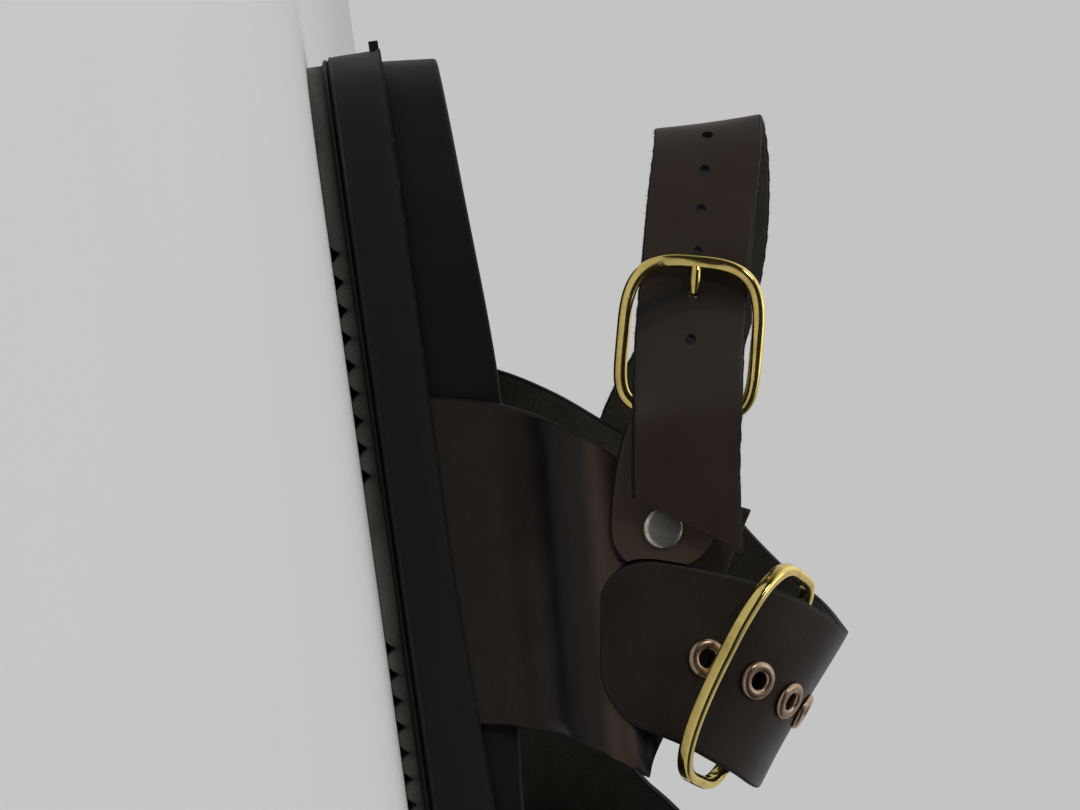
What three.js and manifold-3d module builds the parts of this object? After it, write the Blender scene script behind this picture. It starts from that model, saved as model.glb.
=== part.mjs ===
// A leather sandal for the right foot: ribbed rubber sole, deep moulded footbed, two instep quarters that
// buckle over the foot, a plain front strap, and a heel strap with its own buckle.
// Millimetres. x runs from the heel end to the toe, y from the outer side (minus) to the inner side (plus),
// z up.
import * as THREE from "three";
import { mergeVertices } from "three/addons/utils/BufferGeometryUtils.js";
import Module from "manifold-3d";

const wasm = await Module();
wasm.setup();

// Sole
const SOLE_LENGTH = 278;
const HEEL_ROUND = 36; // length over which the heel end rounds off
const TOE_ROUND = 62;
const ROUND_POWER = 2.1; // 2 would be an ellipse
const SOLE_PLAN = [
  // middle is the middle line's y, half the half width
  { x: 0, middle: 0, half: 33 },
  { x: 30, middle: 0, half: 33.5 },
  { x: 60, middle: -0.2, half: 35.2 },
  { x: 90, middle: -0.6, half: 36.2 },
  { x: 120, middle: -1.2, half: 39.2 },
  { x: 150, middle: -2.2, half: 45.6 },
  { x: 180, middle: -2.2, half: 51.4 },
  { x: 205, middle: -0.6, half: 52.4 },
  { x: 230, middle: 2, half: 49.6 },
  { x: 255, middle: 5, half: 43 },
  { x: 278, middle: 8, half: 38 },
];
const SPRING_START = 172; // the toe lifts off the floor from here
const TOE_SPRING = 12;
const GAP = 0.3; // between pieces that meet

// Outsole
const TREAD_THICKNESS = 3.2;
const TREAD_INSET = 2.2;
const RIB_DEPTH = 2;
const RIB_CREST = 2.4;
const HEEL_PAD_END = 40;
const HEEL_RIBS = { first: 43, count: 9, pitch: 6.2, wave: 1.1 };
const FORE_RIBS = { first: 131, count: 23, pitch: 5.6, wave: 2 };

// Midsole band, whose side steps in and out as it rises
const BAND_HEEL = 13.8; // height of the band's side at the heel
const BAND_BALL = 15.6;
const BAND_STEP = { from: 110, to: 175 }; // where the height changes from the one to the other
const BAND_SIDE = [
  // share of the band's height, and how far in from the outline
  { share: 0, inset: 2.4 },
  { share: 0.03, inset: 1.2 },
  { share: 0.08, inset: 0.9 },
  { share: 0.1, inset: 1.3 },
  { share: 0.14, inset: 0.4 },
  { share: 0.19, inset: 0.5 },
  { share: 0.9, inset: 0.3 },
  { share: 0.93, inset: 0 },
  { share: 0.98, inset: 0 },
  { share: 1, inset: 0.4 },
];
const NIB = { size: 2.2, reach: 1.9, share: 0.9 }; // moulding nib on the heel end

// Footbed
const FOOTBED_INSET = 3;
const FOOTBED_TAPER = 0.9; // the wall leans in this much up to its rim
const RIM = [
  // rim is the rim's height over the floor without toe spring, seat the height over the band
  { x: 0, rim: 29.6, seat: 5 },
  { x: 30, rim: 31, seat: 4.6 },
  { x: 75, rim: 33.2, seat: 5.6 },
  { x: 105, rim: 32, seat: 6.6 },
  { x: 150, rim: 27, seat: 5 },
  { x: 178, rim: 25, seat: 3.6 },
  { x: 230, rim: 24.4, seat: 3 },
  { x: 278, rim: 24.4, seat: 3.4 },
];
const DISH_WIDTH = 15; // how far in from the rim the footbed is level
const ARCH = { rise: 5, middle: 112, reach: 32 }; // the seat rises under the inner arch
const LIP = { width: 0.7, drop: 0.9 }; // rounding of the rim's outer edge

// Leather
const LEATHER = 2.2;
const QUARTER_INSET = 2.7; // inner face of the leather at the band, from the sole's outline
const SECTION_POWER = 2.3; // fullness of the foot's cross-section
const CREST = [
  // height of the instep line over the floor
  { x: 70, z: 140 },
  { x: 100, z: 132 },
  { x: 120, z: 121 },
  { x: 143, z: 107.5 },
  { x: 160, z: 94 },
  { x: 172, z: 84.5 },
  { x: 185, z: 76 },
  { x: 200, z: 69.6 },
  { x: 215, z: 64 },
  { x: 235, z: 59 },
];
const QUARTER_EDGES = [
  // the outer quarter's two edges, by the angle round the foot's section
  { angle: 0, heel: 77, toe: 149.5 },
  { angle: 6, heel: 81.5, toe: 153 },
  { angle: 12, heel: 89, toe: 157 },
  { angle: 20, heel: 100.5, toe: 163 },
  { angle: 28, heel: 108, toe: 168 },
  { angle: 36, heel: 113, toe: 171 },
];
const QUARTER_TOP_HEEL = 36; // angle of the upper edge at its heel end and at its toe end
const QUARTER_TOP_TOE = 27;
const STRAP_LIFT = 2; // inner face of the instep strap over the last, just in the quarter that it joins
const INSTEP_STRAP = [
  // from the rounded tail on the outer side, over the foot, to the foot of the inner quarter
  { angle: 15, heel: 117, toe: 152, lift: STRAP_LIFT },
  { angle: 30, heel: 124.5, toe: 160.5, lift: STRAP_LIFT },
  { angle: 45, heel: 132.5, toe: 168.5, lift: STRAP_LIFT },
  { angle: 68, heel: 143.5, toe: 177.5, lift: STRAP_LIFT },
  { angle: 90, heel: 147, toe: 180, lift: STRAP_LIFT },
  { angle: 112, heel: 143.5, toe: 177, lift: 1.8 },
  { angle: 124, heel: 138, toe: 173, lift: 0.9 },
  { angle: 135, heel: 129, toe: 170, lift: 0.2 },
  { angle: 144, heel: 117, toe: 168.5, lift: 0 },
  { angle: 152, heel: 108, toe: 167, lift: 0 },
  { angle: 160, heel: 100.5, toe: 163, lift: 0 },
  { angle: 168, heel: 89, toe: 157, lift: 0 },
  { angle: 174, heel: 81.5, toe: 153, lift: 0 },
  { angle: 180, heel: 77, toe: 149.5, lift: 0 },
];
const TAIL_ROUND = 11; // radius of the tail's corners
const TAIL_MM_PER_DEGREE = 1.45;
const FRONT_STRAP = [
  { angle: 0, heel: 186, toe: 222 },
  { angle: 20, heel: 190, toe: 225 },
  { angle: 45, heel: 197, toe: 230 },
  { angle: 90, heel: 203, toe: 234.5 },
  { angle: 135, heel: 192, toe: 228 },
  { angle: 155, heel: 176, toe: 220 },
  { angle: 168, heel: 166, toe: 212 },
  { angle: 180, heel: 160, toe: 206 },
];

// Instep buckle: an oval frame whose hidden bar runs in a leather eye of the outer quarter
const INSTEP_BUCKLE = {
  hiddenAngle: 56,
  freeAngle: 33,
  halfWidth: 25.8,
  wire: 1.7,
  freeRise: 4.2,
  eyeWidth: 14,
};
const EYE_WALL = 1.8;
const EYE_DROP = 2; // depth of the hidden bar's middle under the last's surface
const LINK_START = 22; // angle at which the link to the eye leaves the quarter
const LINK_WIDTH = 11.2;
const LINK_WALL = 1.6;
const EYELET_ANGLES = [32, 44.5, 58, 73];
const EYELET = { flange: 4.5, bore: 2, barrel: 2.5, thickness: 0.9, depth: 1.5 };

// Heel strap, buckle and rivets
const HEEL_STRAP_WIDTH = 24.6;
const HEEL_HOLE = 1.3; // radius
const HEEL_HOLE_PITCH = 10.6;
const HEEL_HOLE_FIRST = 42; // from the tail's end
const HEEL_HOLES = 7;
const RIVET_X = 113.5;
const RIVET_Z = 64.2;
const RIVET = { head: 4.5, dome: 1.1, shank: 1.6, drill: 1.9 };
const TAB_END = 123;
const HEEL_BUCKLE = {
  freeX: 57.5,
  hiddenX: 88.5,
  hiddenZ: 72.6,
  halfWidth: 15,
  wire: 1.5,
  freeRise: 1.3,
  eyeWidth: 17,
  prong: 0.9,
  prongHole: 1,
};
const ROUND_SIDES = 12; // of turned pieces and round holes
const TAIL_SLANT = 7; // the heel strap's cut end, half its slope along the strap

// Value of a column at x, on a smooth line through the rows
function onTable(rows, key, x, column) {
  let k = 0;
  while (k < rows.length - 2 && x > rows[k + 1][key]) k++;
  const slope = (i) => {
    const low = Math.max(i - 1, 0);
    const high = Math.min(i + 1, rows.length - 1);
    return (rows[high][column] - rows[low][column]) / (rows[high][key] - rows[low][key]);
  };
  const span = rows[k + 1][key] - rows[k][key];
  const t = THREE.MathUtils.clamp((x - rows[k][key]) / span, 0, 1);
  const [t2, t3] = [t * t, t * t * t];
  return (
    rows[k][column] * (2 * t3 - 3 * t2 + 1) +
    slope(k) * span * (t3 - 2 * t2 + t) +
    rows[k + 1][column] * (3 * t2 - 2 * t3) +
    slope(k + 1) * span * (t3 - t2)
  );
}

// Width of a rounded end as a share of its full width, u from 0 at the tip to 1 where the rounding stops
function roundEnd(u) {
  const left = 1 - THREE.MathUtils.clamp(u, 0, 1);
  return Math.pow(1 - Math.pow(left, ROUND_POWER), 1 / ROUND_POWER);
}

function spring(x) {
  const share = Math.max(0, x - SPRING_START) / (SOLE_LENGTH - SPRING_START);
  return TOE_SPRING * share * share;
}

function bandHeight(x) {
  const towardsBall = THREE.MathUtils.smoothstep(x, BAND_STEP.from, BAND_STEP.to);
  return THREE.MathUtils.lerp(BAND_HEEL, BAND_BALL, towardsBall);
}

const bandFoot = (x) => TREAD_THICKNESS + GAP + spring(x);
const bandTop = (x) => bandFoot(x) + bandHeight(x);

// y of the sole's edge at x, side -1 outer or 1 inner, moved in by inset
function soleEdge(x, side, inset) {
  const half = onTable(SOLE_PLAN, "x", x, "half") - inset;
  const ends = roundEnd((x - inset) / HEEL_ROUND) * roundEnd((SOLE_LENGTH - inset - x) / TOE_ROUND);
  return onTable(SOLE_PLAN, "x", x, "middle") + side * half * ends;
}

function solidFrom(points, faces) {
  const vertProperties = new Float32Array(points);
  const triVerts = new Uint32Array(faces);
  return new wasm.Manifold(new wasm.Mesh({ numProp: 3, vertProperties, triVerts }));
}

// Points and triangles that become one closed solid
class Surface {
  points = [];
  faces = [];
  row(vectors) {
    return vectors.map((v) => {
      this.points.push(v.x, v.y, v.z);
      return this.points.length / 3 - 1;
    });
  }
  quad(a, b, c, d) {
    this.faces.push(a, b, c, a, c, d);
  }
  // Quads between two rows of the same length
  band(lower, upper, closed) {
    const count = closed ? lower.length : lower.length - 1;
    for (let k = 0; k < count; k++) {
      const next = (k + 1) % lower.length;
      this.quad(lower[k], upper[k], upper[next], lower[next]);
    }
  }
  // Fills a sole ring with rows that run from its outer to its inner side
  fillRing(ring, between, facesUp) {
    const stations = ring.length / 2;
    const rows = [];
    for (let i = 1; i < stations; i++) {
      rows.push([ring[2 * stations - i], ...this.row(between(i)), ring[i]]);
    }
    const face = (a, b, c) => this.faces.push(...(facesUp ? [a, b, c] : [a, c, b]));
    rows.forEach((row, i) => {
      for (let k = 0; k < row.length - 1; k++) {
        if (i === 0) face(ring[0], row[k], row[k + 1]);
        const next = rows[i + 1];
        if (next) {
          face(row[k], next[k], next[k + 1]);
          face(row[k], next[k + 1], row[k + 1]);
        } else face(row[k], ring[stations], row[k + 1]);
      }
    });
  }
  solid() {
    const made = solidFrom(this.points, this.faces);
    return made.volume() > 0 ? made : solidFrom(this.points, this.faces.toReversed());
  }
}

// A three.js geometry, moved by a matrix, as a solid
function solidOf(geometry, matrix) {
  const loose = geometry.index ? geometry.toNonIndexed() : geometry;
  const bare = new THREE.BufferGeometry();
  bare.setAttribute("position", loose.getAttribute("position").clone());
  const merged = mergeVertices(bare.applyMatrix4(matrix), 1e-4);
  return solidFrom(merged.attributes.position.array, merged.index.array);
}

function geometryOf(solid) {
  const mesh = solid.getMesh();
  const geometry = new THREE.BufferGeometry();
  geometry.setAttribute("position", new THREE.BufferAttribute(new Float32Array(mesh.vertProperties), 3));
  geometry.setIndex(new THREE.BufferAttribute(new Uint32Array(mesh.triVerts), 1));
  const flat = geometry.toNonIndexed();
  flat.computeVertexNormals();
  return flat;
}

// Matrix that stands a lathe's axis on a point along a direction
function standOn(point, direction) {
  const lathe = new THREE.Vector3(0, 1, 0);
  const turn = new THREE.Quaternion().setFromUnitVectors(lathe, direction.clone().normalize());
  return new THREE.Matrix4().compose(point, turn, new THREE.Vector3(1, 1, 1));
}

// Cuts a round hole along a direction, from depth low to high about the point
function drill(solid, point, direction, radius, low, high) {
  const tool = new THREE.CylinderGeometry(radius, radius, high - low, ROUND_SIDES);
  tool.translate(0, (low + high) / 2, 0);
  return solid.subtract(solidOf(tool, standOn(point, direction)));
}

// How far a rounded end's corners draw in at a distance from the end
function cornerCut(distance) {
  const short = THREE.MathUtils.clamp(TAIL_ROUND - distance, 0, TAIL_ROUND);
  return TAIL_ROUND - Math.sqrt(TAIL_ROUND * TAIL_ROUND - short * short);
}

// Sole layers
const STATIONS = 34;

// Stations along the sole lie closer together at both ends
function stationX(i, inset) {
  const share = (1 - Math.cos((Math.PI * i) / STATIONS)) / 2;
  return inset + (SOLE_LENGTH - 2 * inset) * share;
}

// The sole's outline as a ring: heel end, inner side, toe end, outer side
function soleRing(inset, height) {
  const ring = [];
  for (let k = 0; k < 2 * STATIONS; k++) {
    const side = k <= STATIONS ? 1 : -1;
    const x = stationX(k <= STATIONS ? k : 2 * STATIONS - k, inset);
    ring.push(new THREE.Vector3(x, soleEdge(x, side, inset), height(x)));
  }
  return ring;
}

function midsole() {
  const surface = new Surface();
  const rings = BAND_SIDE.map(({ share, inset }) =>
    surface.row(soleRing(inset, (x) => bandFoot(x) + share * bandHeight(x))),
  );
  rings.slice(1).forEach((ring, k) => surface.band(rings[k], ring, true));
  surface.fillRing(rings[0], () => [], false);
  surface.fillRing(rings.at(-1), () => [], true);
  const nib = new THREE.BoxGeometry(2 * NIB.reach, NIB.size, NIB.size);
  const place = new THREE.Matrix4().makeTranslation(0, 0, bandFoot(0) + NIB.share * bandHeight(0));
  return surface.solid().add(solidOf(nib, place));
}

// Places along the tread with the depth cut into it there: a pad, ribs, an arch plate, ribs
function treadStations() {
  const list = [];
  const heelSteps = 8;
  for (let k = 0; k <= heelSteps; k++) {
    const x = TREAD_INSET + (HEEL_PAD_END - TREAD_INSET) * (1 - Math.cos((Math.PI * k) / heelSteps / 2));
    list.push({ x, cut: 0, wave: 0 });
  }
  for (const ribs of [HEEL_RIBS, FORE_RIBS]) {
    for (let k = 0; k < ribs.count; k++) {
      const groove = ribs.first + k * ribs.pitch;
      const wave = ribs.wave * Math.min(1, (k + 1) / 5);
      list.push({ x: groove, cut: RIB_DEPTH, wave });
      list.push({ x: groove + (ribs.pitch - RIB_CREST) / 2, cut: 0, wave });
      const last = k === ribs.count - 1;
      if (!last) list.push({ x: groove + (ribs.pitch + RIB_CREST) / 2, cut: 0, wave });
    }
  }
  const toeStart = list.at(-1).x;
  const toeSteps = 5;
  for (let k = 1; k <= toeSteps; k++) {
    const share = Math.sin((Math.PI * k) / toeSteps / 2);
    list.push({ x: THREE.MathUtils.lerp(toeStart, SOLE_LENGTH - TREAD_INSET, share), cut: 0, wave: 0 });
  }
  return list;
}

// Ribs bend to and fro across the sole; across runs from -1 outer to 1 inner
const ribBend = (across) => Math.sin(across * Math.PI * 0.95) - 0.35 * across;

function outsole() {
  const list = treadStations();
  const columns = [-0.75, -0.5, -0.25, 0, 0.25, 0.5, 0.75];
  const place = ({ x, cut, wave }, across) => {
    const at = x + wave * ribBend(across);
    const outer = soleEdge(at, -1, TREAD_INSET);
    const inner = soleEdge(at, 1, TREAD_INSET);
    return new THREE.Vector3(at, THREE.MathUtils.lerp(outer, inner, (across + 1) / 2), cut + spring(at));
  };
  const last = list.length - 1;
  const ringAt = (k) => (k <= last ? place(list[k], 1) : place(list[2 * last - k], -1));
  const bottom = Array.from({ length: 2 * last }, (_, k) => ringAt(k));
  const top = bottom.map((p) => new THREE.Vector3(p.x, p.y, TREAD_THICKNESS + spring(p.x)));
  const surface = new Surface();
  const lower = surface.row(bottom);
  const upper = surface.row(top);
  surface.band(lower, upper, true);
  surface.fillRing(lower, (i) => columns.map((across) => place(list[i], across)), false);
  surface.fillRing(upper, () => [], true);
  return surface.solid();
}

function footbed() {
  const rimHeight = (x) => onTable(RIM, "x", x, "rim") + spring(x);
  const floorHeight = (x) => bandTop(x) + GAP;
  const wallInset = FOOTBED_INSET + FOOTBED_TAPER;
  const rimInset = wallInset + LIP.width;
  const surface = new Surface();
  const foot = surface.row(soleRing(FOOTBED_INSET, floorHeight));
  const wall = surface.row(soleRing(wallInset, (x) => rimHeight(x) - LIP.drop));
  const rim = surface.row(soleRing(rimInset, rimHeight));
  surface.band(foot, wall, true);
  surface.band(wall, rim, true);
  surface.fillRing(foot, () => [], false);
  const columns = [-0.95, -0.86, -0.72, -0.5, -0.2, 0.2, 0.5, 0.72, 0.86, 0.95];
  const dish = (i) => {
    const x = stationX(i, rimInset);
    const outer = soleEdge(x, -1, rimInset);
    const inner = soleEdge(x, 1, rimInset);
    const seat = bandTop(x) + onTable(RIM, "x", x, "seat");
    const archHere = ARCH.rise * Math.exp(-Math.pow((x - ARCH.middle) / ARCH.reach, 2));
    return columns.map((across) => {
      const toEdge = ((1 - Math.abs(across)) * (inner - outer)) / 2;
      const wallShare = Math.pow(1 - Math.min(1, toEdge / DISH_WIDTH), 2);
      const arched = seat + archHere * Math.pow(Math.max(0, across), 2);
      const z = THREE.MathUtils.lerp(arched, rimHeight(x), wallShare);
      const y = THREE.MathUtils.lerp(outer, inner, (across + 1) / 2);
      return new THREE.Vector3(x, y, Math.min(z, rimHeight(x)));
    });
  };
  surface.fillRing(rim, dish, true);
  return surface.solid();
}

// The foot's section at x: angle 0 at the band's outer side, 90 on the instep line, 180 at the inner side
function sectionPoint(x, angle) {
  const outer = soleEdge(x, -1, QUARTER_INSET);
  const inner = soleEdge(x, 1, QUARTER_INSET);
  const base = bandTop(x) + GAP;
  const shaped = (value) => Math.sign(value) * Math.pow(Math.abs(value), 2 / SECTION_POWER);
  const turn = THREE.MathUtils.degToRad(angle);
  return new THREE.Vector3(
    x,
    (outer + inner) / 2 - ((inner - outer) / 2) * shaped(Math.cos(turn)),
    base + (onTable(CREST, "x", x, "z") - base) * shaped(Math.sin(turn)),
  );
}

function lastNormal(x, angle) {
  const alongFoot = sectionPoint(x + 1, angle).sub(sectionPoint(x - 1, angle));
  const aroundFoot = sectionPoint(x, angle + 1).sub(sectionPoint(x, angle - 1));
  return alongFoot.cross(aroundFoot).normalize();
}

// A point on the last's surface, or lift above it
function lastPoint(x, angle, lift) {
  const normal = lastNormal(x, angle);
  // at the band the leather stands upright, so that its foot stays level
  const foot = Math.min(angle, 180 - angle);
  if (foot < 4) {
    normal.z *= foot / 4;
    normal.x *= foot / 4;
    normal.normalize();
  }
  return sectionPoint(x, angle).addScaledVector(normal, lift);
}

// Angle round the section at which the outer wall has the height z
function angleAt(x, z) {
  const base = bandTop(x) + GAP;
  const share = (z - base) / (onTable(CREST, "x", x, "z") - base);
  return THREE.MathUtils.radToDeg(Math.asin(Math.pow(share, SECTION_POWER / 2)));
}

// A sheet of leather: place(u, v, depth) gives its points, u along, v across, depth 0 inner or 1 outer face
function sheet(along, across, place) {
  const surface = new Surface();
  const faceRow = (u, depth) => across.map((v) => place(u, v, depth));
  const loops = along.map((u) => surface.row([...faceRow(u, 0), ...faceRow(u, 1).reverse()]));
  loops.slice(1).forEach((loop, k) => surface.band(loops[k], loop, true));
  const close = (loop, flip) => {
    const half = across.length;
    for (let k = 0; k < half - 1; k++) {
      const corners = [loop[k], loop[k + 1], loop[2 * half - 2 - k], loop[2 * half - 1 - k]];
      surface.quad(...(flip ? corners.reverse() : corners));
    }
  };
  close(loops[0], false);
  close(loops.at(-1), true);
  return surface.solid();
}

function steps(low, high, count) {
  return Array.from({ length: count + 1 }, (_, k) => low + ((high - low) * k) / count);
}

const ACROSS = steps(0, 1, 5);

// The outer quarter, wide at the band and slanted towards the toe
function outerQuarter() {
  return sheet(steps(0, 1, 9), ACROSS, (u, v, depth) => {
    const angle = u * THREE.MathUtils.lerp(QUARTER_TOP_HEEL, QUARTER_TOP_TOE, v);
    const heel = onTable(QUARTER_EDGES, "angle", angle, "heel");
    const toe = onTable(QUARTER_EDGES, "angle", angle, "toe");
    return lastPoint(THREE.MathUtils.lerp(heel, toe, v), angle, depth * LEATHER);
  });
}

// Where the instep strap lies at an angle, from its heel edge v 0 to its toe edge v 1
function strapX(angle, v) {
  const heel = onTable(INSTEP_STRAP, "angle", angle, "heel");
  const toe = onTable(INSTEP_STRAP, "angle", angle, "toe");
  const corner = cornerCut((angle - INSTEP_STRAP[0].angle) * TAIL_MM_PER_DEGREE);
  return THREE.MathUtils.lerp(heel + corner, toe - corner, v);
}

// The instep strap with the inner quarter that it grows out of
function instepStrap(grow = 0, depthRange = [0, LEATHER]) {
  const tail = [15, 15.7, 17, 19, 22].map((angle) => angle - grow);
  return sheet([...tail, ...steps(27, 180, 26)], ACROSS, (angle, v, depth) => {
    const lift = onTable(INSTEP_STRAP, "angle", angle, "lift");
    return lastPoint(strapX(angle, v) + grow * (2 * v - 1), angle, lift + depthRange[depth]);
  });
}

// Places that the instep buckle, its leather eye and the strap share
function instepBuckleFrame() {
  const { hiddenAngle, freeAngle, freeRise, wire } = INSTEP_BUCKLE;
  const hidden = lastPoint(strapX(hiddenAngle, 0.5), hiddenAngle, -EYE_DROP);
  const free = lastPoint(strapX(freeAngle, 0.5), freeAngle, STRAP_LIFT + LEATHER + wire + freeRise);
  const along = hidden.clone().sub(free);
  const edgeAt = (v) => lastPoint(strapX(hiddenAngle, v), hiddenAngle, 0);
  const across = edgeAt(1).sub(edgeAt(0));
  across.addScaledVector(along, -across.dot(along) / along.lengthSq()).normalize();
  return { centre: hidden.clone().add(free).divideScalar(2), along: along.divideScalar(2), across, hidden };
}

// A roll of leather round a bar: a short tube, centred on a point, with its axis along a direction
function leatherEye(centre, direction, width, barRadius) {
  const shape = new THREE.Shape().absarc(0, 0, barRadius + GAP + EYE_WALL, 0, 2 * Math.PI);
  shape.holes.push(new THREE.Path().absarc(0, 0, barRadius + GAP, 0, 2 * Math.PI, true));
  const tube = new THREE.ExtrudeGeometry(shape, { depth: width, bevelEnabled: false, curveSegments: 8 });
  tube.translate(0, 0, -width / 2).rotateX(-Math.PI / 2);
  return solidOf(tube, standOn(centre, direction));
}

function upper() {
  const { across, hidden } = instepBuckleFrame();
  const { hiddenAngle, eyeWidth, wire } = INSTEP_BUCKLE;
  const linkWidth = steps(-LINK_WIDTH / 2, LINK_WIDTH / 2, 2);
  const link = sheet(steps(LINK_START, hiddenAngle, 6), linkWidth, (angle, v, depth) =>
    lastPoint(strapX(angle, 0.5) + v, angle, depth * LINK_WALL),
  );
  let leather = outerQuarter()
    .add(link)
    .add(leatherEye(hidden, across, eyeWidth, wire))
    .add(instepStrap());
  for (const angle of EYELET_ANGLES) {
    const { point, normal } = eyeletSeat(angle);
    leather = drill(leather, point, normal, EYELET.barrel + GAP, -LEATHER - 0.1, 3);
  }
  for (const side of [-1, 1]) {
    const { point, normal } = rivetSeat(side, 0);
    leather = drill(leather, point, normal, RIVET.drill, -3, LEATHER + 3);
  }
  return leather;
}

function frontStrap() {
  return sheet(steps(0, 180, 20), ACROSS, (angle, v, depth) => {
    const heel = onTable(FRONT_STRAP, "angle", angle, "heel");
    const toe = onTable(FRONT_STRAP, "angle", angle, "toe");
    return lastPoint(THREE.MathUtils.lerp(heel, toe, v), angle, depth * LEATHER);
  });
}

function eyeletSeat(angle) {
  const x = strapX(angle, 0.5);
  const lift = onTable(INSTEP_STRAP, "angle", angle, "lift") + LEATHER;
  return { point: lastPoint(x, angle, lift), normal: lastNormal(x, angle) };
}

function rivetSeat(side, lift) {
  const angle = angleAt(RIVET_X, RIVET_Z);
  const around = side < 0 ? angle : 180 - angle;
  return { point: lastPoint(RIVET_X, around, lift), normal: lastNormal(RIVET_X, around) };
}

// A point on the side wall at height z
function wallPoint(x, z, side, lift) {
  const angle = angleAt(x, z);
  return lastPoint(x, side < 0 ? angle : 180 - angle, lift);
}

const TAB_LIFT = LEATHER + GAP;
const TAB_ROWS = [
  // the short tab's middle height and half width along the shoe
  { x: 88, z: 72, half: 10 },
  { x: 94, z: 70.2, half: 12 },
  { x: 101, z: 67.6, half: 12.5 },
  { x: 112, z: 65.2, half: 12.5 },
  { x: 123, z: 64.2, half: 12.5 },
];

// Places that the heel buckle and the tab's leather eye share
function heelBuckleFrame() {
  const { freeX, hiddenX, hiddenZ, wire, freeRise } = HEEL_BUCKLE;
  const hidden = wallPoint(hiddenX, hiddenZ, -1, TAB_LIFT + LEATHER / 2);
  const { middle, out, up } = heelStrapAt(freeX);
  const outward = Math.sign(-out.y) * (LEATHER / 2 + wire + freeRise);
  const free = middle.clone().addScaledVector(out, outward);
  const along = hidden.clone().sub(free).divideScalar(2);
  const across = up.clone();
  across.addScaledVector(along, -across.dot(along) / along.lengthSq()).normalize();
  return { centre: hidden.clone().add(free).divideScalar(2), along, across, hidden };
}

const TAB_SLANT = 0.27; // the tab's fold leans as the buckle does

function heelStrapTab() {
  const ends = [0, 0.12, 0.3, 0.55, 0.8, 0.93, 1];
  const place = (x, v, depth) => {
    const half = onTable(TAB_ROWS, "x", x, "half") - cornerCut(TAB_END - x);
    const above = (2 * v - 1) * half;
    const slant = TAB_SLANT * above * Math.max(0, 1 - (x - HEEL_BUCKLE.hiddenX) / 12);
    return wallPoint(x + slant, onTable(TAB_ROWS, "x", x, "z") + above, -1, TAB_LIFT + depth * LEATHER);
  };
  const roundedPart = [3, 6, 8.5, 10, 10.8].map((past) => TAB_END - TAIL_ROUND + past);
  const along = [...steps(HEEL_BUCKLE.hiddenX + 2.6, TAB_END - TAIL_ROUND, 7), ...roundedPart];
  const tab = sheet(along, ends, place);
  const { hidden, across } = heelBuckleFrame();
  const { point, normal } = rivetSeat(-1, TAB_LIFT);
  const cover = instepStrap(GAP * 2, [-GAP, LEATHER + 6]);
  const eye = leatherEye(hidden, across, HEEL_BUCKLE.eyeWidth, HEEL_BUCKLE.wire);
  const whole = tab.add(eye).subtract(cover);
  const piece = whole.decompose().reduce((best, each) => (each.volume() > best.volume() ? each : best));
  return drill(piece, point, normal, RIVET.drill, -3, LEATHER + 3);
}

// The long heel strap's middle line, from its riveted inner end round the back to the cut tail
const wallRow = (x, z, side, lift) => {
  const middle = wallPoint(x, z, side, lift);
  const top = wallPoint(x, z + 8, side, lift);
  return { x, y: middle.y, z, lean: (middle.y - top.y) / 8 };
};
const STRAP_END_LIFT = TAB_LIFT + 0.2; // inner face of the strap's riveted end
const STRAP_END_MIDDLE = STRAP_END_LIFT + LEATHER / 2;
const HEEL_STRAP_PATH = [
  wallRow(123, 64.8, 1, STRAP_END_MIDDLE),
  wallRow(112, 66, 1, STRAP_END_MIDDLE),
  wallRow(100, 71.5, 1, STRAP_END_MIDDLE),
  { x: 82, y: 31.5, z: 83.6, lean: 0.06 },
  { x: 60, y: 24, z: 90.8, lean: 0.03 },
  { x: 41, y: 14.5, z: 92.8, lean: 0 },
  { x: 30.5, y: 6, z: 91.8, lean: 0 },
  { x: 28, y: -2, z: 90, lean: 0 },
  { x: 31.5, y: -9.5, z: 88.6, lean: 0 },
  { x: 43, y: -19.5, z: 84.6, lean: 0 },
  { x: 57.5, y: -28.4, z: 80.4, lean: -0.04 },
  { x: 72, y: -36, z: 76.4, lean: -0.08 },
  { x: 88, y: -42.8, z: 73, lean: -0.12 },
  { x: 100, y: -42.4, z: 71.4, lean: -0.14 },
  { x: 112.5, y: -42, z: 70.2, lean: -0.15 },
];
const heelStrapCurve = new THREE.CatmullRomCurve3(
  HEEL_STRAP_PATH.map((row) => new THREE.Vector3(row.x, row.y, row.z)),
  false,
  "centripetal",
);

function heelStrapFrame(share) {
  const t = heelStrapCurve.getUtoTmapping(share);
  const middle = heelStrapCurve.getPoint(t);
  const tangent = heelStrapCurve.getTangent(t);
  const row = t * (HEEL_STRAP_PATH.length - 1);
  const k = Math.min(Math.floor(row), HEEL_STRAP_PATH.length - 2);
  const lean = THREE.MathUtils.lerp(HEEL_STRAP_PATH[k].lean, HEEL_STRAP_PATH[k + 1].lean, row - k);
  const up = new THREE.Vector3(0, -lean, 1);
  up.addScaledVector(tangent, -up.dot(tangent)).normalize();
  const out = up.clone().cross(tangent).normalize();
  return { middle, tangent, up, out };
}

// The strap's middle and directions where it crosses x on the outer side
function heelStrapAt(x) {
  const frames = steps(0.5, 1, 200).map(heelStrapFrame);
  const away = (frame) => Math.abs(frame.middle.x - x);
  return frames.reduce((best, each) => (away(each) < away(best) ? each : best));
}

const heelStrapHole = (k) =>
  heelStrapFrame(1 - (HEEL_HOLE_FIRST + k * HEEL_HOLE_PITCH) / heelStrapCurve.getLength());

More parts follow.
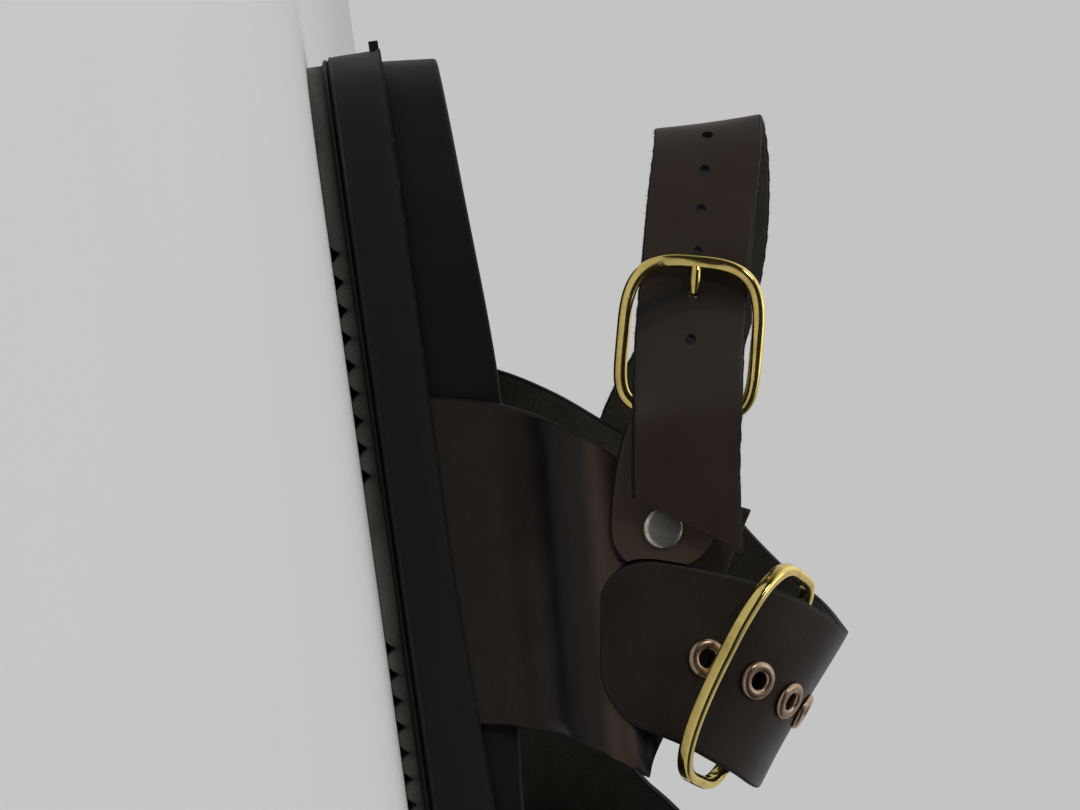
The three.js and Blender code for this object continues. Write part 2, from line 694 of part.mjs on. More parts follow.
function heelStrap() {
  const length = heelStrapCurve.getLength();
  const half = HEEL_STRAP_WIDTH / 2;
  const place = (distance, v, depth) => {
    const { middle, tangent, up, out } = heelStrapFrame(THREE.MathUtils.clamp(distance / length, 0, 1));
    const across = (2 * v - 1) * (half - cornerCut(distance));
    // the far end is cut on a slant, longer at its upper edge
    const slant = distance > length - 1 ? (2 * v - 1) * TAIL_SLANT : 0;
    return middle
      .addScaledVector(up, across)
      .addScaledVector(tangent, slant)
      .addScaledVector(out, (depth - 0.5) * LEATHER);
  };
  const along = [0.2, 1, 2.6, 5, 8, ...steps(11, length - TAIL_SLANT - 4, 30), length];
  let strap = sheet(along, [0, 0.25, 0.5, 0.75, 1], place);
  for (let k = 0; k < HEEL_HOLES; k++) {
    const { middle, out } = heelStrapHole(k);
    strap = drill(strap, middle, out, HEEL_HOLE, -4, 4);
  }
  const { point, normal } = rivetSeat(1, STRAP_END_LIFT);
  return drill(strap, point, normal, RIVET.drill, -3, LEATHER + 3);
}

// A closed wire round an oval: along and across are half its size, flatter where it is straight
function wireFrame(centre, along, across, power, wire, side) {
  const surface = new Surface();
  const around = 36;
  const ringSides = 7;
  const oval = (t) => {
    const [c, s] = [Math.cos(t), Math.sin(t)];
    const bend = s > 0 ? power.hidden : power.free;
    const shaped = (value) => Math.sign(value) * Math.pow(Math.abs(value), 2 / bend);
    return centre.clone().addScaledVector(across, side * shaped(c)).addScaledVector(along, shaped(s));
  };
  const path = new THREE.CatmullRomCurve3(
    steps(0, 2 * Math.PI, 72)
      .slice(0, -1)
      .map(oval),
    true,
  );
  const normal = along.clone().cross(across).normalize();
  const rows = steps(0, 1, around)
    .slice(0, -1)
    .map((share) => {
      const middle = path.getPointAt(share);
      const outward = path.getTangentAt(share).cross(normal).normalize();
      return surface.row(
        steps(0, 2 * Math.PI, ringSides)
          .slice(0, -1)
          .map((turn) =>
            middle
              .clone()
              .addScaledVector(outward, wire * Math.cos(turn))
              .addScaledVector(normal, wire * Math.sin(turn)),
          ),
      );
    });
  rows.forEach((row, k) => surface.band(row, rows[(k + 1) % rows.length], true));
  return surface.solid();
}

function instepBuckle() {
  const { centre, along, across } = instepBuckleFrame();
  const { halfWidth, wire } = INSTEP_BUCKLE;
  return wireFrame(centre, along, across, { hidden: 5, free: 2.5 }, wire, halfWidth);
}

function heelBuckle() {
  const { centre, along, across } = heelBuckleFrame();
  const { halfWidth, wire } = HEEL_BUCKLE;
  const frame = wireFrame(centre, along, across, { hidden: 8, free: 5 }, wire, halfWidth);
  // the prong reaches from the free bar over the strap and down into a hole
  const { middle, out } = heelStrapHole(HEEL_BUCKLE.prongHole);
  const outward = out.clone().multiplyScalar(Math.sign(-out.y));
  const tip = middle.clone().addScaledVector(outward, LEATHER / 2 + GAP + HEEL_BUCKLE.prong);
  const bar = centre.clone().sub(along);
  const sink = middle.clone().addScaledVector(outward, -LEATHER / 4);
  return frame.add(rod(bar, tip, HEEL_BUCKLE.prong)).add(rod(tip, sink, HEEL_BUCKLE.prong));
}

// A straight rod with rounded ends between two points
function rod(from, to, radius) {
  const direction = to.clone().sub(from);
  const shape = new THREE.CapsuleGeometry(radius, direction.length(), 2, 8, 1);
  return solidOf(shape, standOn(from.clone().add(to).divideScalar(2), direction));
}

// A turned piece, its profile given as radius and height over the seat's point
function latheMesh(profile, { point, normal }) {
  const points = profile.map(([r, z]) => new THREE.Vector2(r, z));
  return solidOf(new THREE.LatheGeometry(points, ROUND_SIDES), standOn(point, normal));
}

// A round collar on the strap with a short barrel down its hole
function eyelet(angle) {
  const { flange, bore, barrel, thickness, depth } = EYELET;
  const profile = [
    [bore, -depth],
    [barrel, -depth],
    [barrel, GAP],
    [flange, GAP],
    [flange - 0.3, GAP + thickness * 0.6],
    [flange - 1.2, GAP + thickness],
    [bore + 0.6, GAP + thickness],
    [bore, GAP + thickness * 0.4],
    [bore, -depth],
  ];
  return latheMesh(profile, eyeletSeat(angle));
}

// A flat-headed rivet through the strap or tab and the quarter
function rivet(side) {
  const { head, dome, shank } = RIVET;
  const outerFace = LEATHER + (side < 0 ? TAB_LIFT : STRAP_END_LIFT);
  const profile = [
    [0, -outerFace - GAP - 0.8],
    [head - 1, -outerFace - GAP - 0.8],
    [head - 1, -outerFace - GAP],
    [shank, -outerFace - GAP],
    [shank, GAP],
    [head, GAP],
    [head, GAP + dome * 0.5],
    [head - 0.8, GAP + dome],
    [0, GAP + dome],
  ];
  return latheMesh(profile, rivetSeat(side, outerFace));
}

const leather = { color: "#2f2622", roughness: 0.55, metalness: 0 };
const rubber = { color: "#1b1b19", roughness: 0.7, metalness: 0 };
const tread = { color: "#57544d", roughness: 0.8, metalness: 0 };
const gold = { color: "#cdb968", roughness: 0.15, metalness: 1 };
const copper = { color: "#b08d6e", roughness: 0.3, metalness: 1 };
const steel = { color: "#9a9a90", roughness: 0.35, metalness: 1 };

const sandal = new THREE.Group();
function addPiece(name, solid, finish) {
  const mesh = new THREE.Mesh(geometryOf(solid), new THREE.MeshStandardMaterial(finish));
  mesh.name = name;
  sandal.add(mesh);
}

addPiece("outsole", outsole(), tread);
addPiece("midsole", midsole(), rubber);
addPiece("footbed", footbed(), rubber);
addPiece("upper", upper(), leather);
addPiece("front_strap", frontStrap(), leather);
addPiece("heel_strap", heelStrap(), leather);
addPiece("heel_strap_tab", heelStrapTab(), leather);
addPiece("instep_buckle", instepBuckle(), gold);
addPiece("heel_buckle", heelBuckle(), gold);
EYELET_ANGLES.forEach((angle, k) => addPiece(`eyelet_${k + 1}`, eyelet(angle), copper));
addPiece("rivet_outer", rivet(-1), steel);
addPiece("rivet_inner", rivet(1), steel);

// The part's origin is under the middle of its box, on the floor
const box = new THREE.Box3().setFromObject(sandal);
const middle = box.getCenter(new THREE.Vector3());
sandal.position.set(-middle.x, -middle.y, -box.min.z);

export default sandal;
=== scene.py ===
import math

import bmesh
import bpy
import numpy as np
from bpy.props import FloatProperty, FloatVectorProperty, PointerProperty
from mathutils import Matrix, Vector


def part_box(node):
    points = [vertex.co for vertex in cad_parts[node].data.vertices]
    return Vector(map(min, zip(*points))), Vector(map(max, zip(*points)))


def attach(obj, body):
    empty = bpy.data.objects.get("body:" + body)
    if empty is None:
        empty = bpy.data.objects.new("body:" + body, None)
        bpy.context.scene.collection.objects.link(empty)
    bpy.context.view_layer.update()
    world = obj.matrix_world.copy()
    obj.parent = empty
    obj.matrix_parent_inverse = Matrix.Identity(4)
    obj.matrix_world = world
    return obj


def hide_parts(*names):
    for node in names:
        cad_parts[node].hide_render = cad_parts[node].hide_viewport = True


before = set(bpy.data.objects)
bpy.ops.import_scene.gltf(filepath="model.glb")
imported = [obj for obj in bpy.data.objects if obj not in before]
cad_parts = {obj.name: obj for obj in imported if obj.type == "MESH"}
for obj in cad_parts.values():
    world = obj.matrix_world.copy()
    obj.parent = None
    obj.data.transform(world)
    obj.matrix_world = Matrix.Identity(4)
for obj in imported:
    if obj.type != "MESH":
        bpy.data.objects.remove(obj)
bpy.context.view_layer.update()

bl_info = {
    "name": "Leather sandal",
    "version": (1, 0, 0),
    "blender": (4, 5, 0),
    "location": "3D View > Sidebar > Sandal",
    "description": "Fine rubber, leather and metal surfaces of a sandal, built around its packed model",
    "category": "Add Mesh",
}

BODY = "root"

# Sizes in millimetres. x runs from the heel end to the toe, y from the outer side to the inner side, z up.
SOLE_LENGTH = 278
HEEL_ROUND = 36
TOE_ROUND = 62
ROUND_POWER = 2.1
SOLE_PLAN = {
    "x": (0, 30, 60, 90, 120, 150, 180, 205, 230, 255, 278),
    "middle": (0, 0, -0.2, -0.6, -1.2, -2.2, -2.2, -0.6, 2, 5, 8),
    "half": (33, 33.5, 35.2, 36.2, 39.2, 45.6, 51.4, 52.4, 49.6, 43, 38),
}
SPRING_START = 172
TOE_SPRING = 12
GAP = 0.3
SEAM_DEPTH = 0.5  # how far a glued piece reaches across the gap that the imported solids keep

# Tread
TREAD_THICKNESS = 3.2
TREAD_INSET = 2.2
TREAD_EDGE = {"rise": 0.3, "width": 0.8}  # rounding of its lower edge
TREAD_ACROSS = 57
HEEL_PAD_END = 40
PAD_STEPS = 26
TOE_STEPS = 14
HEEL_RIBS = {"first": 43, "count": 9, "pitch": 6.2, "wave": 1.1}
FORE_RIBS = {"first": 131, "count": 23, "pitch": 5.6, "wave": 2}
RIB_SOFT = {"width": 0.35, "drop": 0.1}  # rounding of a rib's edges
RIBS_TO_FULL_WAVE = 5

# Band
BAND_HEEL = 13.8
BAND_BALL = 15.6
BAND_STEP = (110, 175)
BAND_SIDE = {
    "share": (0, 0.02, 0.05, 0.075, 0.085, 0.1, 0.115, 0.135, 0.15, 0.17, 0.185, 0.21, 0.3, 0.45, 0.6,
              0.75, 0.88, 0.91, 0.93, 0.955, 0.98, 0.993, 1),
    "inset": (2.4, 1.45, 1.0, 0.95, 1.1, 1.4, 1.1, 0.5, 0.42, 0.5, 0.62, 0.5, 0.46, 0.42, 0.38,
              0.34, 0.3, 0.22, 0.05, 0, 0, 0.04, 0.18),
}
BAND_STEPS = 150
SEAM_SHARE = {"start": 0.95, "width": 0.04}  # where the glued seam runs, as shares of the band's height
NIB = {"width": 1.0, "height": 2.2, "reach": 1.9, "share": 0.9}

# Footbed
FOOTBED_INSET = 3
FOOTBED_TAPER = 0.9
FOOTBED_STEPS = 130
LIP = {"width": 0.7, "drop": 0.9}
RIM = {
    "x": (0, 30, 75, 105, 150, 178, 230, 278),
    "rim": (29.6, 31, 33.2, 32, 27, 25, 24.4, 24.4),
    "seat": (5, 4.6, 5.6, 6.6, 5, 3.6, 3, 3.4),
}
DISH_WIDTH = 15
DISH_ACROSS = 49
ARCH = {"rise": 5, "middle": 112, "reach": 32}

# Leather on the last
LEATHER = 2.2
QUARTER_INSET = 2.7
SECTION_POWER = 2.3
UPRIGHT_ANGLE = 4  # the leather turns upright over this angle from the band, in degrees
SEAM_ANGLE = 2  # and sinks into the seam over this one
CREST = {
    "x": (70, 100, 120, 143, 160, 172, 185, 200, 215, 235),
    "z": (140, 132, 121, 107.5, 94, 84.5, 76, 69.6, 64, 59),
}
QUARTER_EDGES = {
    "angle": (0, 6, 12, 20, 28, 36),
    "heel": (77, 81.5, 89, 100.5, 108, 113),
    "toe": (149.5, 153, 157, 163, 168, 171),
}
QUARTER_TOP = (36, 27)
QUARTER_CREASES = {
    # soft folds along the shoe, by their height over the floor
    "z": (29, 40, 52, 59),
    "width": (6, 4.4, 4.2, 3),
    "rise": (0.4, -1.6, 1.5, -2),
    "slant": (-0.04, -0.06, -0.06, -0.06),
}
QUARTER_RAGGED = ((0.28, 9, 4.1), (0.16, 3.4, 1.3))  # height, size and seed of an edge's unevenness
STRAP_LIFT = 2
INSTEP_STRAP = {
    "angle": (15, 30, 45, 68, 90, 112, 124, 135, 144, 152, 160, 168, 174, 180),
    "heel": (117, 124.5, 132.5, 143.5, 147, 143.5, 138, 129, 117, 108, 100.5, 89, 81.5, 77),
    "toe": (152, 160.5, 168.5, 177.5, 180, 177, 173, 170, 168.5, 167, 163, 157, 153, 149.5),
    "lift": (2, 2, 2, 2, 2, 1.8, 0.9, 0.2, 0, 0, 0, 0, 0, 0),
}
TAIL_ROUND = 11
TAIL_MM_PER_DEGREE = 1.45
EYELET_DENT = {"depth": 0.16, "width": 6.5}
FRONT_STRAP = {
    "angle": (0, 20, 45, 90, 135, 155, 168, 180),
    "heel": (186, 190, 197, 203, 192, 176, 166, 160),
    "toe": (222, 225, 230, 234.5, 228, 220, 212, 206),
}

# Instep buckle
INSTEP_BUCKLE = {
    "hidden_angle": 56, "free_angle": 33, "half_width": 25.8, "free_rise": 4.2, "eye_width": 14,
    "wire": 1.7, "flat": 0.82, "corner": 1.1, "hidden_power": 5, "free_power": 2.5,
}
EYE_WALL = 1.8
EYE_DROP = 2
LINK_START = 22
LINK_WIDTH = 11.2
LINK_WALL = 1.6
EYELET_ANGLES = (32, 44.5, 58, 73)
EYELET = {"flange": 4.5, "bore": 2.0, "barrel": 2.5, "thickness": 0.9, "depth": 1.5}

# Heel strap
HEEL_STRAP_WIDTH = 24.6
HEEL_HOLE = 1.3
HEEL_HOLE_PITCH = 10.6
HEEL_HOLE_FIRST = 42
HEEL_HOLES = 7
HOLE_REACH = 4
STRAP_RAGGED = ((0.12, 5.2, 2.4), (0.08, 2.1, 0.9))  # height, size and seed of an edge's unevenness
RIVET_SEAT = {"x": 113.5, "z": 64.2}
RIVET = {"head": 4.5, "dome": 1.1, "shank": 1.6, "drill": 1.9}
TAB_END = 123
TAB_LIFT = LEATHER + GAP
TAB_SLANT = 0.27
TAB_START = 2.6  # from the buckle's hidden bar to where the tab's leather leaves its eye
TAB_ROWS = {
    "x": (88, 94, 101, 112, 123),
    "z": (72, 70.2, 67.6, 65.2, 64.2),
    "half": (10, 12, 12.5, 12.5, 12.5),
}
COVER = {"angles": (14, 60), "margin": 0.6, "height": 6}  # what the instep strap's tail takes out of the tab
HEEL_BUCKLE = {
    "free_x": 57.5, "hidden_x": 88.5, "hidden_z": 72.6, "half_width": 15, "free_rise": 1.3, "eye_width": 17,
    "wire": 1.5, "flat": 1, "corner": 1.25, "hidden_power": 5, "free_power": 3.2,
}
PRONG = {
    "radius": 0.9, "corner": 0.85, "hole": 1,
    "share": (0, 0.08, 0.3, 0.6, 0.9, 1),
    "swell": (0.7, 1.3, 1.45, 1, 1, 0.45),
}
# how much paler the leather is, as a ridge of that height in mm would be (on the tab a painted highlight, on
# the strap paler all over), and the painted shadow of the buckle's bar just past it
PALER = {"tab": 1.2, "strap": 0.65}
BAR_SHADOW = {"past": 4.2, "width": 2.8, "bow": 12, "depth": 1.9}
TAIL_SLANT = 7
TAIL_CUT = 34
STRAP_END_LIFT = TAB_LIFT + 0.2
STRAP_PATH = {
    # the middle line where the strap is free of the quarters
    "x": (82, 60, 41, 30.5, 28, 31.5, 43, 57.5, 72, 88, 100, 112.5),
    "y": (31.5, 24, 14.5, 6, -2, -9.5, -19.5, -28.4, -36, -42.8, -42.4, -42),
    "z": (83.6, 90.8, 92.8, 91.8, 90, 88.6, 84.6, 80.4, 76.4, 73, 71.4, 70.2),
    "lean": (0.06, 0.03, 0, 0, 0, 0, 0, -0.04, -0.08, -0.12, -0.14, -0.15),
}
STRAP_END_ROWS = {"x": (123, 112, 100), "z": (64.8, 66, 71.5)}

# Cut edges of the leather
EDGE_ROUND = 0.45
CORNER = {"across": (0, 0.35, 1, 2), "depth": (0.24, 0.08, 0.02, 0)}
CUT_END = {"share": (1.5, 0.4, 0), "thickness": (1.0, 0.9, 0.55)}
FIBRE = {"thickness": 0.035, "seed": 7, "shortest": 0.35, "longest": 1.25}
GRAIN, SUEDE, EDGE = 0, 1, 2  # a leather piece's materials: outer face, inner face, cut edge


def on_table(table, key, at, column):
    """Value of a column at a key, on a smooth line through the rows"""
    keys = np.array(table[key], float)
    values = np.array(table[column], float)
    order = np.arange(len(keys))
    low = np.maximum(order - 1, 0)
    high = np.minimum(order + 1, len(keys) - 1)
    slopes = (values[high] - values[low]) / (keys[high] - keys[low])
    at = np.asarray(at, float)
    k = np.clip(np.searchsorted(keys, at, side="left") - 1, 0, len(keys) - 2)
    span = keys[k + 1] - keys[k]
    t = np.clip((at - keys[k]) / span, 0, 1)
    t2, t3 = t**2, t**3
    return (
        values[k] * (2 * t3 - 3 * t2 + 1)
        + slopes[k] * span * (t3 - 2 * t2 + t)
        + values[k + 1] * (3 * t2 - 2 * t3)
        + slopes[k + 1] * span * (t3 - t2)
    )


def round_end(u):
    """Share of the sole's half width at a share of the way along its rounded end"""
    left = 1 - np.clip(u, 0, 1)
    return (1 - left**ROUND_POWER) ** (1 / ROUND_POWER)


def spring(x):
    """How far the toe end rises off the floor"""
    share = np.maximum(0, x - SPRING_START) / (SOLE_LENGTH - SPRING_START)
    return TOE_SPRING * share**2


def smooth(u):
    """Eases from 0 to 1"""
    u = np.clip(u, 0, 1)
    return u * u * (3 - 2 * u)


def band_height(x):
    towards_ball = smooth((x - BAND_STEP[0]) / (BAND_STEP[1] - BAND_STEP[0]))
    return BAND_HEEL + (BAND_BALL - BAND_HEEL) * towards_ball


def band_foot(x):
    return TREAD_THICKNESS + GAP + spring(x)


def band_top(x):
    return band_foot(x) + band_height(x)


def sole_edge(x, side, inset):
    """y of the sole's edge at x, side -1 outer or 1 inner, moved in by inset"""
    half = on_table(SOLE_PLAN, "x", x, "half") - inset
    ends = round_end((x - inset) / HEEL_ROUND) * round_end((SOLE_LENGTH - inset - x) / TOE_ROUND)
    return on_table(SOLE_PLAN, "x", x, "middle") + side * half * ends


def points(x, y, z):
    return np.stack(np.broadcast_arrays(x, y, z), axis=-1).astype(float)


def unit(vectors):
    return vectors / np.linalg.norm(vectors, axis=-1, keepdims=True)


def frame_shift():
    """From these sizes' origin to the frame's, worked out from where the band lies"""
    low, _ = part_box("midsole")
    x = np.linspace(1, SOLE_LENGTH - 1, 600)
    outermost = sole_edge(x, -1, 0).min()
    return np.array([low.x * 1000 + NIB["reach"], low.y * 1000 - outermost, 0])


SHIFT = frame_shift()


def section_point(x, angle):
    """The foot's section at x: angle 0 at the band's outer side, 90 on the instep line, 180 inner side"""
    outer = sole_edge(x, -1, QUARTER_INSET)
    inner = sole_edge(x, 1, QUARTER_INSET)
    base = band_top(x) + GAP
    turn = np.radians(angle)

    def shaped(value):
        return np.sign(value) * np.abs(value) ** (2 / SECTION_POWER)

    y = (outer + inner) / 2 - (inner - outer) / 2 * shaped(np.cos(turn))
    return points(x, y, base + (on_table(CREST, "x", x, "z") - base) * shaped(np.sin(turn)))


def last_normal(x, angle):
    along = section_point(x + 1, angle) - section_point(x - 1, angle)
    around = section_point(x, angle + 1) - section_point(x, angle - 1)
    return unit(np.cross(along, around))


def last_point(x, angle, lift):
    """A point on the last, or lift above it. At the band the leather stands upright, sunk into the seam."""
    normal = last_normal(x, angle)
    over_foot = np.minimum(angle, 180 - angle)
    upright = np.clip(over_foot / UPRIGHT_ANGLE, 0, 1)
    flat = normal * np.stack(np.broadcast_arrays(upright, 1.0, upright), axis=-1)
    at = section_point(x, angle) + unit(flat) * np.asarray(lift)[..., None]
    at[..., 2] -= SEAM_DEPTH * np.clip(1 - over_foot / SEAM_ANGLE, 0, 1)
    return at


def angle_at(x, z):
    """Angle of the outer side's point at a height"""
    base = band_top(x) + GAP
    share = (z - base) / (on_table(CREST, "x", x, "z") - base)
    return np.degrees(np.arcsin(np.clip(share, 0, 1) ** (SECTION_POWER / 2)))


def wall_point(x, z, side, lift):
    """A point at a height on the outer or inner side, with its lift"""
    angle = angle_at(x, z)
    return last_point(x, angle if side < 0 else 180 - angle, lift)


def corner_cut(distance):
    """How far a rounded end's corners draw in at a distance from the end"""
    short = np.clip(TAIL_ROUND - distance, 0, TAIL_ROUND)
    return TAIL_ROUND - np.sqrt(TAIL_ROUND**2 - short**2)


def strap_x(angle, v):
    """x of the instep strap at an angle, v from its heel edge to its toe edge"""
    heel = on_table(INSTEP_STRAP, "angle", angle, "heel")
    toe = on_table(INSTEP_STRAP, "angle", angle, "toe")
    corner = corner_cut((angle - INSTEP_STRAP["angle"][0]) * TAIL_MM_PER_DEGREE)
    return heel + corner + (toe - heel - 2 * corner) * v


def ripple(x, y, size, seed):
    """A gentle unevenness between -1 and 1, with bumps of about that size"""
    turn = 2 * math.pi / size
    total = np.zeros(np.broadcast(x, y).shape)
    for k in range(4):
        heading = seed + 1.9 * k
        along = x * math.cos(heading) + y * math.sin(heading)
        total += np.sin(turn * along * (0.7 + 0.23 * k) + 2.3 * k * seed)
    return total / 4


def ragged(x, y, rows):
    """Unevenness of a cut edge, from rows of height, size and seed"""
    return sum(height * ripple(x, y, size, seed) for height, size, seed in rows)


class Shape:
    """Points in millimetres and faces with a material number, which become one mesh"""

    def __init__(self):
        self.points = []
        self.faces = []
        self.finishes = []
        self.count = 0

    def grid(self, grid):
        grid = np.asarray(grid, float)
        self.points.append(grid.reshape(-1, 3))
        index = self.count + np.arange(grid.shape[0] * grid.shape[1]).reshape(grid.shape[:2])
        self.count += index.size
        return index

    def skin(self, index, closed=False, finish=0):
        """Quads between the grid's rows; closed joins the last column to the first"""
        right = np.roll(index, -1, axis=1)
        stop = index.shape[1] if closed else index.shape[1] - 1
        for k in range(stop):
            block = np.stack([index[:-1, k], index[1:, k], right[1:, k], right[:-1, k]], axis=-1)
            self.faces.extend(block.tolist())
            kind = finish[k] if np.ndim(finish) else finish
            self.finishes.extend([int(kind)] * len(block))

    def polygon(self, corners, finish=0):
        self.faces.append([int(c) for c in corners])
        self.finishes.append(int(finish))

    def made(self, name, materials, sharp=35):
        """The mesh object, in metres in the frame, closed and with its faces outwards"""
        mesh = bpy.data.meshes.new(name)
        co = (np.concatenate(self.points) + SHIFT) / 1000
        mesh.from_pydata(co.tolist(), [], self.faces)
        for material in materials:
            mesh.materials.append(material)
        mesh.polygons.foreach_set("material_index", self.finishes)
        piece = bpy.data.objects.new(name, mesh)
        bpy.context.scene.collection.objects.link(piece)
        tidy_mesh(mesh, sharp)
        return piece


def tidy_mesh(mesh, sharp):
    """Merges doubled points, turns the faces outwards and shades the mesh smooth up to an angle"""
    shell = bmesh.new()
    shell.from_mesh(mesh)
    bmesh.ops.remove_doubles(shell, verts=shell.verts, dist=1e-6)
    bmesh.ops.dissolve_degenerate(shell, edges=shell.edges, dist=1e-7)
    if shell.calc_volume(signed=True) < 0:
        bmesh.ops.reverse_faces(shell, faces=shell.faces)
    shell.to_mesh(mesh)
    shell.free()
    mesh.shade_smooth()
    mesh.set_sharp_from_angle(angle=math.radians(sharp))


def settle(piece, slot, *nodes):
    """Puts a finished piece on the body, in place of its nodes"""
    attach(piece, BODY)
    if nodes:
        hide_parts(*nodes)
    return piece


def applied(piece):
    """Turns the piece's modifiers into its plain mesh"""
    depsgraph = bpy.context.evaluated_depsgraph_get()
    mesh = bpy.data.meshes.new_from_object(piece.evaluated_get(depsgraph))
    piece.modifiers.clear()
    if piece.type == "MESH":
        old = piece.data
        piece.data = mesh
        bpy.data.meshes.remove(old)
        return piece
    name = piece.name
    bpy.data.objects.remove(piece)
    plain = bpy.data.objects.new(name, mesh)
    bpy.context.scene.collection.objects.link(plain)
    return plain


def cut_away(piece, cutter, sharp=35):
    """Cuts one closed mesh out of another"""
    modifier = piece.modifiers.new("cut", "BOOLEAN")
    modifier.operation = "DIFFERENCE"
    modifier.solver = "EXACT"
    modifier.object = cutter
    piece = applied(piece)
    old = cutter.data
    bpy.data.objects.remove(cutter)
    bpy.data.meshes.remove(old)
    piece.data.shade_smooth()
    piece.data.set_sharp_from_angle(angle=math.radians(sharp))
    return piece


def largest_shell(mesh):
    """Keeps only the biggest connected part of a mesh"""
    shell = bmesh.new()
    shell.from_mesh(mesh)
    left = set(shell.verts)
    parts = []
    while left:
        part = {left.pop()}
        todo = list(part)
        while todo:
            for edge in todo.pop().link_edges:
                for vert in edge.verts:
                    if vert in left:
                        left.discard(vert)
                        part.add(vert)
                        todo.append(vert)
        parts.append(part)
    keep = max(parts, key=len)
    bmesh.ops.delete(shell, geom=[v for v in shell.verts if v not in keep], context="VERTS")
    shell.to_mesh(mesh)
    shell.free()


# Leather sheets
def sheet_columns(columns, width):
    """The cut across a sheet: v, depth and material round the loop, with its corners rounded"""
    corner = EDGE_ROUND / width
    side = [share * corner for share in CORNER["across"]]
    middle = np.linspace(3.5 * corner, 1 - 3.5 * corner, columns)
    v = np.concatenate([side, middle, 1 - np.array(side[::-1])])
    depth = np.concatenate([CORNER["depth"], np.zeros(columns), CORNER["depth"][::-1]])
    loop_v = np.concatenate([v, v[::-1]])
    loop_depth = np.concatenate([depth, 1 - depth[::-1]])
    edge = np.zeros(len(v), bool)
    edge[:2] = edge[-3:] = True
    inner = np.where(edge, EDGE, SUEDE)
    outer = np.where(edge, EDGE, GRAIN)
    return loop_v, loop_depth, np.concatenate([inner, outer])


def sheet_rows(low, high, count, length, ends=(True, True)):
    """Places along a sheet and how far its thickness draws in there, for rounded cut ends"""
    corner = EDGE_ROUND / length * (high - low)
    rows = list(np.linspace(low + 3 * corner, high - 3 * corner, count))
    squeeze = [1.0] * count
    for share, thin in zip(CUT_END["share"], CUT_END["thickness"]):
        rows.insert(0, low + share * corner)
        squeeze.insert(0, thin if ends[0] else 1.0)
        rows.append(high - share * corner)
        squeeze.append(thin if ends[1] else 1.0)
    return np.array(rows), np.array(squeeze)


def leather_sheet(name, rows, squeeze, columns, place, materials, swap=False):
    """A closed sheet. place(u, v, depth) gives its points, depth 0 on its inner and 1 on its outer face;
    swap puts the suede on the outer face."""
    v, depth, kinds = columns
    if swap:
        kinds = np.select([kinds == GRAIN, kinds == SUEDE], [SUEDE, GRAIN], kinds)
    deep = 0.5 + (depth[None, :] - 0.5) * squeeze[:, None]
    shape = Shape()
    index = shape.grid(place(rows[:, None], v[None, :], deep))
    shape.skin(index, closed=True, finish=kinds)
    half = len(v) // 2
    for end in (0, -1):
        loop = index[end]
        for k in range(half - 1):
            corners = [loop[k], loop[k + 1], loop[2 * half - 2 - k], loop[2 * half - 1 - k]]
            shape.polygon(corners if end == 0 else corners[::-1], EDGE)
    return shape.made(name, materials)


def rod_shape(shape, start, end, radius, sides=20):
    """A closed round rod between two points, whose wall becomes a cut edge"""
    start, end = np.asarray(start, float), np.asarray(end, float)
    axis = unit(end - start)
    side = unit(np.cross(axis, [0.3, 0.9, 0.1]))
    turn = np.linspace(0, 2 * math.pi, sides, endpoint=False)
    ring = np.outer(np.cos(turn), side) + np.outer(np.sin(turn), np.cross(axis, side))
    index = shape.grid(np.stack([start + radius * ring, end + radius * ring]))
    shape.skin(index, closed=True, finish=EDGE)
    shape.polygon(index[0], EDGE)
    shape.polygon(index[1][::-1], EDGE)


def hole_cutters(name, seats, radius, materials, reach=HOLE_REACH):
    """One mesh of rods that cut round holes through a sheet at its seats"""
    shape = Shape()
    for point, direction in seats:
        rod_shape(shape, point - direction * reach, point + direction * reach, radius)
    return shape.made(name, materials)


# Sole
def sole_ring_x(count, inset):
    """Places along the sole, closer together at its ends"""
    share = (1 - np.cos(np.pi * np.arange(count + 1) / count)) / 2
    return inset + (SOLE_LENGTH - 2 * inset) * share


def sole_ring(count, inset, height):
    """The sole's outline as a ring: heel end, inner side, toe end, outer side"""
    x = sole_ring_x(count, inset)
    inner = points(x, sole_edge(x, 1, inset), height(x))
    outer = points(x, sole_edge(x, -1, inset), height(x))
    return np.concatenate([inner, outer[-2:0:-1]])


def close_ring(shape, ring, finish=0):
    """Fills a sole ring with strips from its outer to its inner side"""
    count = len(ring) // 2
    shape.polygon([ring[0], ring[1], ring[-1]], finish)
    for k in range(1, count - 1):
        shape.polygon([ring[k], ring[k + 1], ring[-k - 1], ring[-k]], finish)
    shape.polygon([ring[count - 1], ring[count], ring[count + 1]], finish)


def rib_bend(across):
    """How a rib bows and slants from the outer to the inner side"""
    return np.sin(across * np.pi * 0.95) - 0.35 * across


